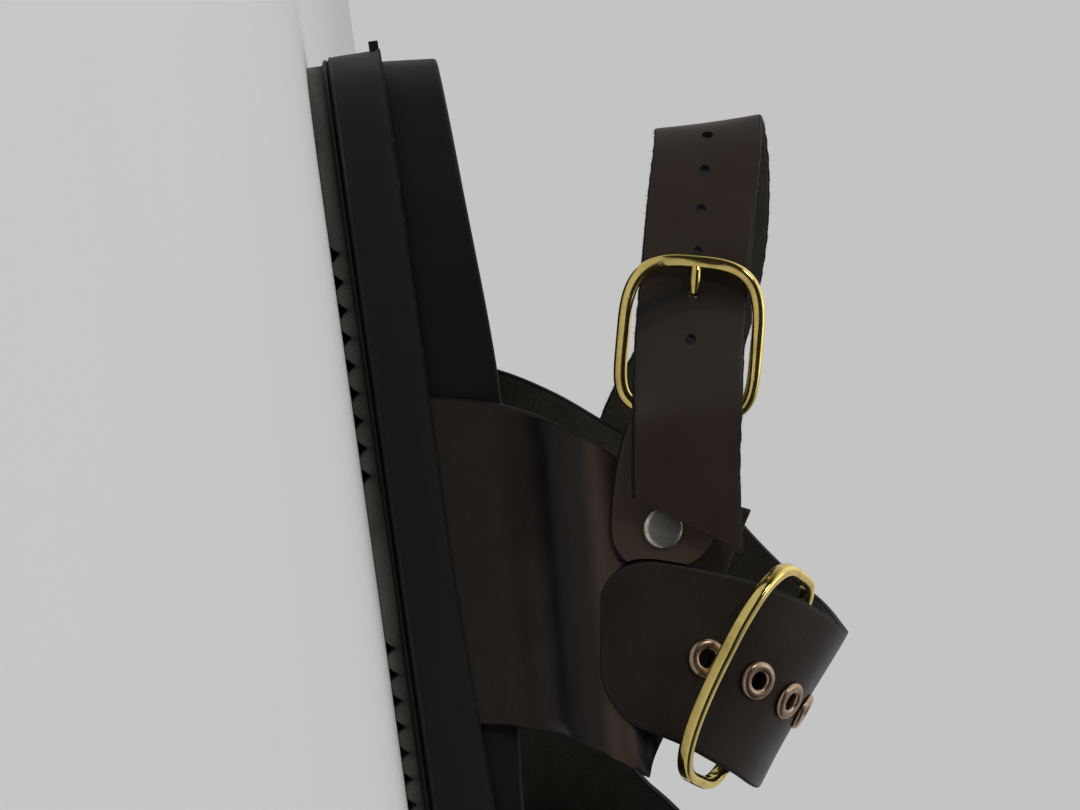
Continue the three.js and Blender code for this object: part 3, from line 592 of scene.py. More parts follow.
def tread_rows(sole):
    """Places along the tread with the depth cut into it: heel pad, ribs, arch plate, ribs"""
    rows = []
    for k in range(PAD_STEPS + 1):
        share = 1 - math.cos(math.pi * k / PAD_STEPS / 2)
        rows.append((TREAD_INSET + (HEEL_PAD_END - TREAD_INSET) * share, 0, 0))
    soft, drop = RIB_SOFT["width"], RIB_SOFT["drop"]
    for ribs in (HEEL_RIBS, FORE_RIBS):
        flank = (ribs["pitch"] - sole.rib_crest) / 2
        for k in range(ribs["count"]):
            groove = ribs["first"] + k * ribs["pitch"]
            wave = ribs["wave"] * min(1, (k + 1) / RIBS_TO_FULL_WAVE)
            if k == 0:
                rows.append((groove - flank - soft, 0, wave))
                rows.append((groove - flank, drop, wave))
            for at, cut in ((-flank / 2, 0.52), (-soft, 0.93), (0, 1), (soft, 0.93), (flank / 2, 0.52)):
                rows.append((groove + at, cut * sole.rib_depth, wave))
            rows.append((groove + flank, drop, wave))
            rows.append((groove + flank + soft, 0, wave))
            if k < ribs["count"] - 1:
                rows.append((groove + flank + sole.rib_crest - soft, 0, wave))
                rows.append((groove + flank + sole.rib_crest, drop, wave))
    last = rows[-1][0]
    for k in range(1, TOE_STEPS + 1):
        share = math.sin(math.pi * k / TOE_STEPS / 2)
        rows.append((last + (SOLE_LENGTH - TREAD_INSET - last) * share, 0, 0))
    return np.array(rows)


def build_tread(sole):
    rows = tread_rows(sole)
    across = np.sin(np.linspace(-math.pi / 2, math.pi / 2, TREAD_ACROSS))
    x, cut, wave = (rows[:, k, None] for k in range(3))
    at = x + wave * rib_bend(across[None, :])
    at = np.clip(at, TREAD_INSET, SOLE_LENGTH - TREAD_INSET)
    outer, inner = sole_edge(at, -1, TREAD_INSET), sole_edge(at, 1, TREAD_INSET)
    y = outer + (inner - outer) * (across[None, :] + 1) / 2
    to_edge = (1 - np.abs(across[None, :])) * (inner - outer) / 2
    edge_rise = TREAD_EDGE["rise"] * np.clip(1 - to_edge / TREAD_EDGE["width"], 0, 1) ** 2
    under = points(at, y, np.maximum(cut, edge_rise) + spring(at))
    over = points(at, y, TREAD_THICKNESS + SEAM_DEPTH + spring(at))
    shape = Shape()
    lower = shape.grid(under)
    upper = shape.grid(over)
    shape.skin(lower)
    shape.skin(upper[:, ::-1])
    for side in (0, -1):
        wall = np.stack([lower[:, side], upper[:, side]])
        shape.skin(wall if side == 0 else wall[::-1])
    for end in (0, -1):
        wall = np.stack([lower[end], upper[end]])
        shape.skin(wall[::-1] if end == 0 else wall)
    piece = shape.made("tread", [tread_rubber(sole)], 50)
    co = mesh_points(piece)
    store_value(piece, "groove", np.clip((co[:, 2] - spring(co[:, 0])) / sole.rib_depth, 0, 1))
    return settle(piece, "tread_rubber", "outsole")


def mesh_points(piece):
    """The piece's points in millimetres, in these sizes' own frame"""
    return np.array([v.co for v in piece.data.vertices]) * 1000 - SHIFT


def store_value(piece, name, values):
    """Keeps a value for each point, which a material reads by its name"""
    attribute = piece.data.attributes.new(name, "FLOAT", "POINT")
    attribute.data.foreach_set("value", np.asarray(values, np.float32))


def build_band(sole):
    shape = Shape()
    rings = []
    for share, inset in zip(BAND_SIDE["share"], BAND_SIDE["inset"]):
        rings.append(sole_ring(BAND_STEPS, inset, lambda x, s=share: band_foot(x) + s * band_height(x)))
    index = shape.grid(np.stack(rings))
    shape.skin(index, closed=True)
    close_ring(shape, index[0])
    close_ring(shape, index[-1][::-1])
    nib_z = band_foot(0) + NIB["share"] * band_height(0)
    low = np.array([-NIB["reach"], -NIB["width"] / 2, nib_z - NIB["height"] / 2])
    high = np.array([NIB["reach"], NIB["width"] / 2, nib_z + NIB["height"] / 2])
    add_block(shape, low, high)
    piece = shape.made("side_band", [band_rubber(sole)], 30)
    co = mesh_points(piece)
    share = (co[:, 2] - band_foot(co[:, 0])) / band_height(co[:, 0])
    store_value(piece, "seam", np.clip((share - SEAM_SHARE["start"]) / SEAM_SHARE["width"], 0, 1))
    return settle(piece, "band_rubber", "midsole")


def add_block(shape, low, high):
    """A closed box between two corners"""
    ring = [(low[0], low[1]), (high[0], low[1]), (high[0], high[1]), (low[0], high[1])]
    index = shape.grid([[(x, y, z) for x, y in ring] for z in (low[2], high[2])])
    shape.skin(index, closed=True)
    shape.polygon(index[0])
    shape.polygon(index[1][::-1])


def rim_height(x):
    return on_table(RIM, "x", x, "rim") + spring(x)


def wall_height(x, share):
    """Height of the footbed's side at a share of the way from its foot to the lip"""
    foot = band_top(x) + GAP
    return foot + (rim_height(x) - LIP["drop"] - foot) * share


def build_footbed(sole):
    count = FOOTBED_STEPS
    wall_inset = FOOTBED_INSET + FOOTBED_TAPER
    rim_inset = wall_inset + LIP["width"]
    rings = [sole_ring(count, FOOTBED_INSET, lambda x: band_top(x) + GAP - SEAM_DEPTH)]
    for share in (0.25, 0.5, 0.75, 0.92):
        inset = FOOTBED_INSET + FOOTBED_TAPER * share
        rings.append(sole_ring(count, inset, lambda x, s=share: wall_height(x, s)))
    for turn in np.radians((0, 25, 50, 70, 90)):
        inset = wall_inset + LIP["width"] * (1 - math.cos(turn))
        below = LIP["drop"] * (1 - math.sin(turn))
        rings.append(sole_ring(count, inset, lambda x, d=below: rim_height(x) - d))
    shape = Shape()
    index = shape.grid(np.stack(rings))
    shape.skin(index, closed=True)
    close_ring(shape, index[0])
    # the dish, in rows from its outer to its inner side
    x = sole_ring_x(count, rim_inset)[1:-1, None]
    across = np.sin(np.linspace(-math.pi / 2, math.pi / 2, DISH_ACROSS))[None, 1:-1]
    outer, inner = sole_edge(x, -1, rim_inset), sole_edge(x, 1, rim_inset)
    to_edge = (1 - np.abs(across)) * (inner - outer) / 2
    wall = (1 - np.minimum(1, to_edge / DISH_WIDTH)) ** 2
    arch_here = ARCH["rise"] * np.exp(-(((x - ARCH["middle"]) / ARCH["reach"]) ** 2))
    seat = band_top(x) + on_table(RIM, "x", x, "seat") + arch_here * np.maximum(0, across) ** 2
    z = np.minimum(seat + (rim_height(x) - seat) * wall, rim_height(x))
    dish = shape.grid(points(x, outer + (inner - outer) * (across + 1) / 2, z))
    ring = index[-1]
    inner_side = ring[1:count][:, None]
    outer_side = ring[:count:-1][:, None]
    full = np.concatenate([outer_side, dish, inner_side], axis=1)
    shape.skin(full)
    for row, tip in ((full[0], ring[0]), (full[-1][::-1], ring[count])):
        for k in range(len(row) - 1):
            shape.polygon([tip, row[k], row[k + 1]])
    piece = shape.made("moulded_footbed", [footbed_rubber(sole)], 45)
    return settle(piece, "footbed_rubber", "footbed")


# Upper
def quarter_creases(x, z):
    """Soft folds of the outer quarter along the shoe"""
    total = np.zeros(np.broadcast(x, z).shape)
    rows = zip(*(QUARTER_CREASES[key] for key in ("z", "width", "rise", "slant")))
    for height, width, rise, slant in rows:
        total += rise * np.exp(-(((z - height - slant * (x - RIVET_SEAT["x"])) / width) ** 2))
    return total


def build_outer_quarter(leather, materials):
    rows, squeeze = sheet_rows(0, 1, count=60, length=48, ends=(False, True))
    columns = sheet_columns(56, width=68)

    def place(u, v, depth):
        angle = u * (QUARTER_TOP[0] + (QUARTER_TOP[1] - QUARTER_TOP[0]) * v)
        heel = on_table(QUARTER_EDGES, "angle", angle, "heel")
        toe = on_table(QUARTER_EDGES, "angle", angle, "toe")
        # only the toe edge is ragged
        x = heel + (toe - heel) * v + ragged(angle * 1.6, angle, QUARTER_RAGGED) * smooth((v - 0.9) * 10)
        at = section_point(x, angle)
        free = smooth(v / 0.08) * smooth((1 - v) / 0.05)
        bend = leather.crease * quarter_creases(x, at[..., 2]) * (0.55 + 0.45 * free)
        uneven = 0.12 * ripple(x, at[..., 2], size=21, seed=0.7) * free * smooth(u / 0.3)
        return last_point(x, angle, depth * LEATHER + bend + uneven)

    piece = leather_sheet("outer_quarter", rows, squeeze, columns, place, materials)
    cutter = hole_cutters("rivet_hole", [rivet_seat(-1, 0)], RIVET["drill"], materials)
    piece = cut_away(piece, cutter)
    co = mesh_points(piece)
    # painted shade in the troughs of the folds and painted highlights on their ridges, for the leather's
    # colour
    store_value(piece, "wear", quarter_creases(co[:, 0], co[:, 2]))
    return settle(piece, "brown_leather", "upper")


def rivet_seat(side, lift):
    """Where a rivet sits on the outer or inner side, and its direction"""
    angle = angle_at(RIVET_SEAT["x"], RIVET_SEAT["z"])
    around = angle if side < 0 else 180 - angle
    return last_point(RIVET_SEAT["x"], around, lift), last_normal(RIVET_SEAT["x"], around)


def eyelet_seat(angle):
    """Where an eyelet sits on the instep strap's outer face, and its direction"""
    x = strap_x(angle, 0.5)
    lift = on_table(INSTEP_STRAP, "angle", angle, "lift") + LEATHER
    return last_point(x, angle, lift), last_normal(x, angle)


def strap_place(angle, v, depth):
    """A point of the instep strap, which dips a little round each eyelet and waves on the inner side"""
    lift = on_table(INSTEP_STRAP, "angle", angle, "lift")
    x = strap_x(angle, v)
    dent = 0
    for seat in EYELET_ANGLES:
        away = (x - strap_x(seat, 0.5)) ** 2 + ((angle - seat) * TAIL_MM_PER_DEGREE) ** 2
        dent = dent - EYELET_DENT["depth"] * np.exp(-away / EYELET_DENT["width"]**2)
    free = smooth(v / 0.1) * smooth((1 - v) / 0.1)
    inner_side = smooth((angle - 115) / 25)
    wave = 0.18 * ripple(x, angle * TAIL_MM_PER_DEGREE, size=26, seed=2.2) * free * inner_side
    return last_point(x, angle, lift + depth * LEATHER + dent + wave)


def build_instep_strap(leather, materials):
    start = INSTEP_STRAP["angle"][0]
    body, squeeze = sheet_rows(0, 1, count=190, length=230, ends=(True, False))
    # rows lie closer together on the rounded tail
    angles = start + (180 - start) * (0.22 * body + 0.78 * body**1.6)
    columns = sheet_columns(34, width=38)
    piece = leather_sheet("instep_strap", angles, squeeze, columns, strap_place, materials)
    seats = [eyelet_seat(angle) for angle in EYELET_ANGLES]
    cutter = hole_cutters("eyelet_holes", seats, EYELET["barrel"] + GAP, materials, reach=3.2)
    piece = cut_away(piece, cutter)
    cutter = hole_cutters("inner_rivet_hole", [rivet_seat(1, 0)], RIVET["drill"], materials)
    return settle(cut_away(piece, cutter), "brown_leather", "upper")


def instep_buckle_frame():
    """The ring's centre, its directions along and across the strap, and its hidden bar"""
    hidden_angle, free_angle = INSTEP_BUCKLE["hidden_angle"], INSTEP_BUCKLE["free_angle"]
    hidden = last_point(strap_x(hidden_angle, 0.5), hidden_angle, -EYE_DROP)
    rise = STRAP_LIFT + LEATHER + INSTEP_BUCKLE["wire"] + INSTEP_BUCKLE["free_rise"]
    free = last_point(strap_x(free_angle, 0.5), free_angle, rise)
    along = hidden - free
    heel_edge, toe_edge = (last_point(strap_x(hidden_angle, v), hidden_angle, 0) for v in (0, 1))
    across = toe_edge - heel_edge
    across = unit(across - along * across.dot(along) / along.dot(along))
    return {"centre": (hidden + free) / 2, "along": along / 2, "across": across, "hidden": hidden}


def add_leather_eye(shape, centre, direction, width, bar):
    """A roll of leather round a buckle's bar"""
    axis = unit(direction)
    side = unit(np.cross(axis, [0, 0.3, 1]))
    turn = np.linspace(0, 2 * math.pi, 36, endpoint=False)
    ring = np.outer(np.cos(turn), side) + np.outer(np.sin(turn), np.cross(axis, side))
    inner, outer = bar + GAP, bar + GAP + EYE_WALL
    rim = EDGE_ROUND
    profile = [
        (inner, 0), (outer - rim, 0), (outer, rim),
        (outer, width - rim), (outer - rim, width), (inner, width),
    ]
    rows = [centre + axis * (along - width / 2) + radius * ring for radius, along in profile]
    index = shape.grid(np.stack([*rows, rows[0]]))
    shape.skin(index[:2], closed=True, finish=EDGE)
    shape.skin(index[1:5], closed=True, finish=GRAIN)
    shape.skin(index[4:6], closed=True, finish=EDGE)
    shape.skin(index[5:], closed=True, finish=SUEDE)


def build_buckle_link(leather, materials):
    """The hidden leather link that holds the instep buckle to the outer quarter, with its rolled eye"""
    end = INSTEP_BUCKLE["hidden_angle"]
    rows, squeeze = sheet_rows(LINK_START, end, count=24, length=50, ends=(False, False))

    def place(angle, v, depth):
        return last_point(strap_x(angle, 0.5) + (v - 0.5) * LINK_WIDTH, angle, depth * LINK_WALL)

    piece = leather_sheet("buckle_link", rows, squeeze, sheet_columns(8, LINK_WIDTH), place, materials)
    at = instep_buckle_frame()
    shape = Shape()
    add_leather_eye(shape, at["hidden"], at["across"], INSTEP_BUCKLE["eye_width"], INSTEP_BUCKLE["wire"])
    eye = shape.made("buckle_eye", materials)
    settle(eye, "brown_leather", "upper")
    return settle(piece, "brown_leather", "upper")


def build_front_strap(leather, materials):
    rows, squeeze = sheet_rows(0, 180, count=150, length=170, ends=(False, False))
    columns = sheet_columns(36, width=38)

    def place(angle, v, depth):
        heel = on_table(FRONT_STRAP, "angle", angle, "heel")
        toe = on_table(FRONT_STRAP, "angle", angle, "toe")
        free = smooth(v / 0.12) * smooth((1 - v) / 0.12) * smooth(np.minimum(angle, 180 - angle) / 14)
        x = heel + (toe - heel) * v
        uneven = 0.22 * ripple(x, angle * 1.1, size=30, seed=1.1) * free
        return last_point(x, angle, depth * LEATHER + uneven)

    piece = leather_sheet("ball_strap", rows, squeeze, columns, place, materials)
    return settle(piece, "brown_leather", "front_strap")


# Heel strap
class StrapLine:
    """The heel strap's middle line, from its riveted inner end round the back to the cut tail"""

    def __init__(self):
        knots, leans = [], []
        for x, z in zip(STRAP_END_ROWS["x"], STRAP_END_ROWS["z"]):
            middle = wall_point(x, z, 1, STRAP_END_LIFT + LEATHER / 2)
            top = wall_point(x, z + 8, 1, STRAP_END_LIFT + LEATHER / 2)
            knots.append((x, middle[1], z))
            leans.append((middle[1] - top[1]) / 8)
        for x, y, z, lean in zip(*(STRAP_PATH[key] for key in ("x", "y", "z", "lean"))):
            knots.append((x, y, z))
            leans.append(lean)
        self.sample(np.array(knots, float), np.array(leans))

    def sample(self, knots, leans):
        """Points at even small steps on a centripetal curve through the knots"""
        ends = np.concatenate([[2 * knots[0] - knots[1]], knots, [2 * knots[-1] - knots[-2]]])
        spans = np.sqrt(np.linalg.norm(np.diff(ends, axis=0), axis=1))
        t = np.linspace(0, len(knots) - 1, 3000)
        k = np.minimum(t.astype(int), len(knots) - 2)
        w = (t - k)[:, None]
        p0, p1, p2, p3 = ends[k], ends[k + 1], ends[k + 2], ends[k + 3]
        d0, d1, d2 = (spans[k + i][:, None] for i in range(3))
        m1 = ((p1 - p0) / d0 - (p2 - p0) / (d0 + d1) + (p2 - p1) / d1) * d1
        m2 = ((p2 - p1) / d1 - (p3 - p1) / (d1 + d2) + (p3 - p2) / d2) * d1
        line = p1 + m1 * w + (3 * (p2 - p1) - 2 * m1 - m2) * w**2 + (2 * (p1 - p2) + m1 + m2) * w**3
        steps = np.linalg.norm(np.diff(line, axis=0), axis=1)
        self.distance = np.concatenate([[0], np.cumsum(steps)])
        self.length = self.distance[-1]
        self.line = line
        self.lean = np.interp(t, np.arange(len(leans)), leans)
        self.tangent = unit(np.gradient(line, self.distance, axis=0))

    def at(self, distance):
        """Middle, tangent, up and out at a distance along the strap"""
        def pick(values):
            return np.stack([np.interp(distance, self.distance, values[:, k]) for k in range(3)], axis=-1)

        middle, tangent = pick(self.line), unit(pick(self.tangent))
        lean = np.interp(distance, self.distance, self.lean)
        up = points(np.zeros_like(lean), -lean, np.ones_like(lean))
        up = unit(up - tangent * (up * tangent).sum(-1, keepdims=True))
        return middle, tangent, up, unit(np.cross(up, tangent))

    def hole(self, k):
        """Middle of a punched hole, counted from the tail, and the outer face's direction there"""
        middle, _, _, out = self.at(self.length - HEEL_HOLE_FIRST - k * HEEL_HOLE_PITCH)
        return middle, out * self.bar(HEEL_BUCKLE["free_x"])[1]

    def bar(self, x):
        """Distance at which the strap crosses x on the outer side, and the sign of its outer face there"""
        half = self.distance > self.length / 2
        nearest = np.argmin(np.where(half, np.abs(self.line[:, 0] - x), 1e9))
        distance = self.distance[nearest]
        return distance, math.copysign(1, -self.at(distance)[3][1])

    def crossing(self, x):
        """Middle, up and outer face's direction where the strap crosses x on the outer side"""
        distance, outward = self.bar(x)
        middle, _, up, out = self.at(distance)
        return middle, up, out * outward


STRAP_LINE = StrapLine()


def build_heel_strap(leather, materials):
    length = STRAP_LINE.length
    # more rows on the rounded inner end
    rows = np.sort(np.concatenate([sheet_rows(0, length, 330, length)[0], np.linspace(1.4, 6, 9)]))
    from_end = np.minimum(rows, length - rows)
    squeeze = np.interp(from_end, (0, 0.2, 0.8), (0.55, 0.9, 1))
    columns = sheet_columns(26, HEEL_STRAP_WIDTH)
    bar_distance, outward = STRAP_LINE.bar(HEEL_BUCKLE["free_x"])

    def place(distance, v, depth):
        middle, tangent, up, out = STRAP_LINE.at(np.clip(distance, 0, length))
        half = HEEL_STRAP_WIDTH / 2 - corner_cut(distance) + ragged(distance, distance, STRAP_RAGGED)
        across = (2 * v - 1) * half
        slant = (2 * v - 1) * TAIL_SLANT * smooth((distance - (length - TAIL_CUT)) / TAIL_CUT)
        # the strap sinks under the buckle's bar and swells a little behind it
        past_bar = distance - bar_distance
        swell = 0.25 * np.exp(-(((past_bar - 11) / 6) ** 2)) - 0.75 * np.exp(-(((past_bar - 1) / 4.5) ** 2))
        thick = (depth - 0.5) * LEATHER + outward * leather.crease * swell
        across, slant, thick = (part[..., None] for part in np.broadcast_arrays(across, slant, thick))
        return middle + up * across + tangent * slant + out * thick

    piece = leather_sheet("heel_strap_leather", rows, squeeze, columns, place, materials, swap=outward < 0)
    seats = [STRAP_LINE.hole(k) for k in range(HEEL_HOLES)]
    piece = cut_away(piece, hole_cutters("strap_holes", seats, HEEL_HOLE, materials))
    seat = rivet_seat(1, STRAP_END_LIFT)
    piece = cut_away(piece, hole_cutters("strap_rivet_hole", [seat], RIVET["drill"], materials))
    # the strap a little paler all over, with the buckle bar's painted shadow just past the bar
    store_value(piece, "wear", strap_pallor_and_bar_shadow(mesh_points(piece)))
    return settle(piece, "brown_leather", "heel_strap")


def strap_pallor_and_bar_shadow(at):
    """Paler all over, with a painted shadow bowed like the buckle's bar just past it"""
    outer_part = slice(5, None)
    middle = np.interp(at[:, 0], STRAP_PATH["x"][outer_part], STRAP_PATH["z"][outer_part])
    bow = BAR_SHADOW["bow"] * np.abs(at[:, 2] - middle) ** 2 / HEEL_STRAP_WIDTH**2
    past_bar = at[:, 0] - HEEL_BUCKLE["free_x"] - BAR_SHADOW["past"] - bow
    # painted shadow that the buckle's bar casts on the strap's outer part
    bar_shadow = np.exp(-((past_bar / BAR_SHADOW["width"]) ** 2)) * (at[:, 1] < 0)
    return PALER["strap"] - BAR_SHADOW["depth"] * bar_shadow


def heel_buckle_frame():
    """The ring's centre, its directions along and across the strap, and its hidden bar"""
    hidden = wall_point(HEEL_BUCKLE["hidden_x"], HEEL_BUCKLE["hidden_z"], -1, TAB_LIFT + LEATHER / 2)
    middle, up, out = STRAP_LINE.crossing(HEEL_BUCKLE["free_x"])
    free = middle + out * (LEATHER / 2 + HEEL_BUCKLE["wire"] + HEEL_BUCKLE["free_rise"])
    along = (hidden - free) / 2
    across = unit(up - along * up.dot(along) / along.dot(along))
    return {"centre": (hidden + free) / 2, "along": along, "across": across, "hidden": hidden}


def tail_cover(materials):
    """The instep strap's tail with a margin, thick enough to cut the tab that ends against it"""
    rows, squeeze = sheet_rows(*COVER["angles"], count=60, length=60, ends=(False, False))

    def place(angle, v, depth):
        x = strap_x(angle + COVER["margin"], v) + COVER["margin"] * (2 * v - 1)
        lift = on_table(INSTEP_STRAP, "angle", angle, "lift")
        return last_point(x, angle, lift - GAP + depth * (LEATHER + COVER["height"]))

    return leather_sheet("strap_cover", rows, squeeze, sheet_columns(20, width=38), place, materials)


def build_heel_tab(leather, materials):
    start = HEEL_BUCKLE["hidden_x"] + TAB_START
    rows, squeeze = sheet_rows(start, TAB_END - 0.2, count=70, length=32, ends=(False, True))

    def place(x, v, depth):
        half = on_table(TAB_ROWS, "x", x, "half") - corner_cut(TAB_END - x)
        above = (2 * v - 1) * half
        slant = TAB_SLANT * above * np.maximum(0, 1 - (x - HEEL_BUCKLE["hidden_x"]) / 12)
        z = on_table(TAB_ROWS, "x", x, "z") + above
        return wall_point(x + slant, z, -1, TAB_LIFT + depth * LEATHER)

    piece = leather_sheet("heel_tab", rows, squeeze, sheet_columns(30, width=25), place, materials)
    piece = cut_away(piece, tail_cover(materials))
    cutter = hole_cutters("tab_rivet_hole", [rivet_seat(-1, TAB_LIFT)], RIVET["drill"], materials)
    piece = cut_away(piece, cutter)
    largest_shell(piece.data)
    # the whole tab painted lighter, a painted highlight of the light falling on it
    store_value(piece, "wear", np.full(len(piece.data.vertices), PALER["tab"]))
    at = heel_buckle_frame()
    shape = Shape()
    add_leather_eye(shape, at["hidden"], at["across"], HEEL_BUCKLE["eye_width"], HEEL_BUCKLE["wire"])
    eye = shape.made("heel_tab_eye", materials)
    settle(eye, "brown_leather", "heel_strap_tab")
    return settle(piece, "brown_leather", "heel_strap_tab")


# Node trees
def add_node(tree, kind, settings=None, inputs=None):
    """Adds a node with its settings, and its inputs set or linked"""
    node = tree.nodes.new(kind)
    for name, value in (settings or {}).items():
        setattr(node, name, value)
    for name, value in (inputs or {}).items():
        if isinstance(value, bpy.types.NodeSocket):
            tree.links.new(value, node.inputs[name])
        else:
            node.inputs[name].default_value = value
    return node


def start_tree(name, sockets):
    """An empty geometry tree with its named inputs; returns it with its input and output nodes"""
    tree = bpy.data.node_groups.new(name, "GeometryNodeTree")
    tree.interface.new_socket("Geometry", in_out="INPUT", socket_type="NodeSocketGeometry")
    tree.interface.new_socket("Geometry", in_out="OUTPUT", socket_type="NodeSocketGeometry")
    for label, kind in sockets:
        tree.interface.new_socket(label, in_out="INPUT", socket_type=kind)
    return tree, tree.nodes.new("NodeGroupInput"), tree.nodes.new("NodeGroupOutput")


def end_tree(tree, out, geometry, material):
    realized = add_node(tree, "GeometryNodeRealizeInstances", inputs={"Geometry": geometry})
    painted = add_node(tree, "GeometryNodeSetMaterial", inputs={"Geometry": realized.outputs["Geometry"],
                                                               "Material": material})
    tree.links.new(painted.outputs["Geometry"], out.inputs["Geometry"])


def run_tree(piece, tree, values):
    """Puts the tree on a piece, sets its named inputs and returns the plain mesh object"""
    modifier = piece.modifiers.new(tree.name, "NODES")
    modifier.node_group = tree
    for item in tree.interface.items_tree:
        if item.item_type == "SOCKET" and item.in_out == "INPUT" and item.name in values:
            modifier[item.identifier] = values[item.name]
    return applied(piece)


def wire_tree():
    """A bar of flattened round section along a curve, scaled by the curve's own radius"""
    tree, inputs, out = start_tree("buckle_wire", (
        ("Width", "NodeSocketFloat"), ("Thickness", "NodeSocketFloat"), ("Corner", "NodeSocketFloat"),
        ("Plane", "NodeSocketVector"), ("Material", "NodeSocketMaterial"),
    ))
    value = inputs.outputs
    flat = add_node(tree, "GeometryNodeSetCurveNormal", {"mode": "FREE"},
                    {"Curve": value["Geometry"], "Normal": value["Plane"]})
    section = add_node(tree, "GeometryNodeCurvePrimitiveQuadrilateral",
                       inputs={"Width": value["Width"], "Height": value["Thickness"]})
    rounded = add_node(tree, "GeometryNodeFilletCurve", {"mode": "POLY"}, {
        "Curve": section.outputs["Curve"], "Count": 6, "Radius": value["Corner"]})
    radius = add_node(tree, "GeometryNodeInputRadius")
    bar = add_node(tree, "GeometryNodeCurveToMesh", inputs={
        "Curve": flat.outputs["Curve"], "Profile Curve": rounded.outputs["Curve"],
        "Scale": radius.outputs["Radius"], "Fill Caps": True})
    smooth_bar = add_node(tree, "GeometryNodeSetShadeSmooth", inputs={"Geometry": bar.outputs["Mesh"]})
    end_tree(tree, out, smooth_bar.outputs["Geometry"], value["Material"])
    return tree


def seat_tree():
    """A turned piece set on each point, square to the surface there"""
    tree, inputs, out = start_tree("turned_pieces", (
        ("Piece", "NodeSocketObject"), ("Size", "NodeSocketFloat"), ("Material", "NodeSocketMaterial"),
    ))
    value = inputs.outputs
    out_direction = add_node(tree, "GeometryNodeInputNamedAttribute", {"data_type": "FLOAT_VECTOR"},
                             {"Name": "out"})
    turn = add_node(tree, "FunctionNodeAlignRotationToVector", {"axis": "Z"},
                    {"Vector": out_direction.outputs["Attribute"]})
    info = add_node(tree, "GeometryNodeObjectInfo", inputs={"Object": value["Piece"]})
    placed = add_node(tree, "GeometryNodeInstanceOnPoints", inputs={
        "Points": value["Geometry"], "Instance": info.outputs["Geometry"],
        "Rotation": turn.outputs["Rotation"], "Scale": value["Size"]})
    end_tree(tree, out, placed.outputs["Instances"], value["Material"])
    return tree


def nap_tree():
    """Short leather fibres over the suede face and cut edges of a strap"""
    tree, inputs, out = start_tree("suede_fibres", (
        ("Density", "NodeSocketFloat"), ("Length", "NodeSocketFloat"), ("Thickness", "NodeSocketFloat"),
        ("Seed", "NodeSocketInt"), ("Material", "NodeSocketMaterial"),
    ))
    value = inputs.outputs
    kind = add_node(tree, "GeometryNodeInputMaterialIndex")
    furry = add_node(tree, "FunctionNodeCompare", {"data_type": "INT", "operation": "GREATER_EQUAL"})
    tree.links.new(kind.outputs["Material Index"], furry.inputs[2])
    furry.inputs[3].default_value = SUEDE
    spots = add_node(tree, "GeometryNodeDistributePointsOnFaces", inputs={
        "Mesh": value["Geometry"], "Selection": furry.outputs["Result"], "Density": value["Density"],
        "Seed": value["Seed"]})
    tilt = add_node(tree, "FunctionNodeRandomValue", {"data_type": "FLOAT_VECTOR"},
                    {"Min": (-1, -1, -1), "Max": (1, 1, 1), "Seed": value["Seed"]})
    leaning = add_node(tree, "ShaderNodeVectorMath", {"operation": "ADD"},
                       {0: spots.outputs["Normal"], 1: tilt.outputs["Value"]})
    turn = add_node(tree, "FunctionNodeAlignRotationToVector", {"axis": "Z"},
                    {"Vector": leaning.outputs["Vector"]})
    fibre = add_node(tree, "GeometryNodeMeshCone", inputs={
        "Vertices": 3, "Side Segments": 1, "Fill Segments": 1, "Radius Top": 0,
        "Radius Bottom": value["Thickness"], "Depth": value["Length"]})
    grow = add_node(tree, "FunctionNodeRandomValue", {"data_type": "FLOAT"}, {"Seed": value["Seed"]})
    grow.inputs[2].default_value = FIBRE["shortest"]
    grow.inputs[3].default_value = FIBRE["longest"]
    placed = add_node(tree, "GeometryNodeInstanceOnPoints", inputs={
        "Points": spots.outputs["Points"], "Instance": fibre.outputs["Mesh"],
        "Rotation": turn.outputs["Rotation"], "Scale": grow.outputs[1]})
    end_tree(tree, out, placed.outputs["Instances"], value["Material"])
    return tree


# Metal pieces
def buckle_path(at, half_width, hidden_power, free_power, count=160):
    """A closed oval, flatter where its power is higher, at even steps"""
    t = np.linspace(0, 2 * math.pi, 2001)
    cosine, sine = np.cos(t), np.sin(t)
    bend = np.where(sine > 0, hidden_power, free_power)
    shaped_c = np.sign(cosine) * np.abs(cosine) ** (2 / bend)
    shaped_s = np.sign(sine) * np.abs(sine) ** (2 / bend)
    line = at["centre"] + np.outer(shaped_c * half_width, at["across"]) + np.outer(shaped_s, at["along"])
    walked = np.concatenate([[0], np.cumsum(np.linalg.norm(np.diff(line, axis=0), axis=1))])
    even = np.linspace(0, walked[-1], count, endpoint=False)
    return np.stack([np.interp(even, walked, line[:, k]) for k in range(3)], axis=-1)


def curve_object(name, line, closed, radii=None):
    """A curve through points in millimetres; radii scale the wire made along it"""
    curve = bpy.data.curves.new(name, "CURVE")
    curve.dimensions = "3D"
    spline = curve.splines.new("POLY")
    spline.points.add(len(line) - 1)
    for k, (point, (x, y, z)) in enumerate(zip(spline.points, (line + SHIFT) / 1000)):
        point.co = (x, y, z, 1)
        point.radius = radii[k] if radii is not None else 1
    spline.use_cyclic_u = closed
    piece = bpy.data.objects.new(name, curve)
    bpy.context.scene.collection.objects.link(piece)
    return piece


def make_wire(name, line, closed, plane, width, thickness, corner, material, radii=None):
    piece = curve_object(name, line, closed, radii)
    values = {"Width": width / 1000, "Thickness": thickness / 1000, "Corner": corner / 1000,
              "Plane": tuple(plane), "Material": material}
    piece = run_tree(piece, wire_tree(), values)
    tidy_mesh(piece.data, 60)
    return piece


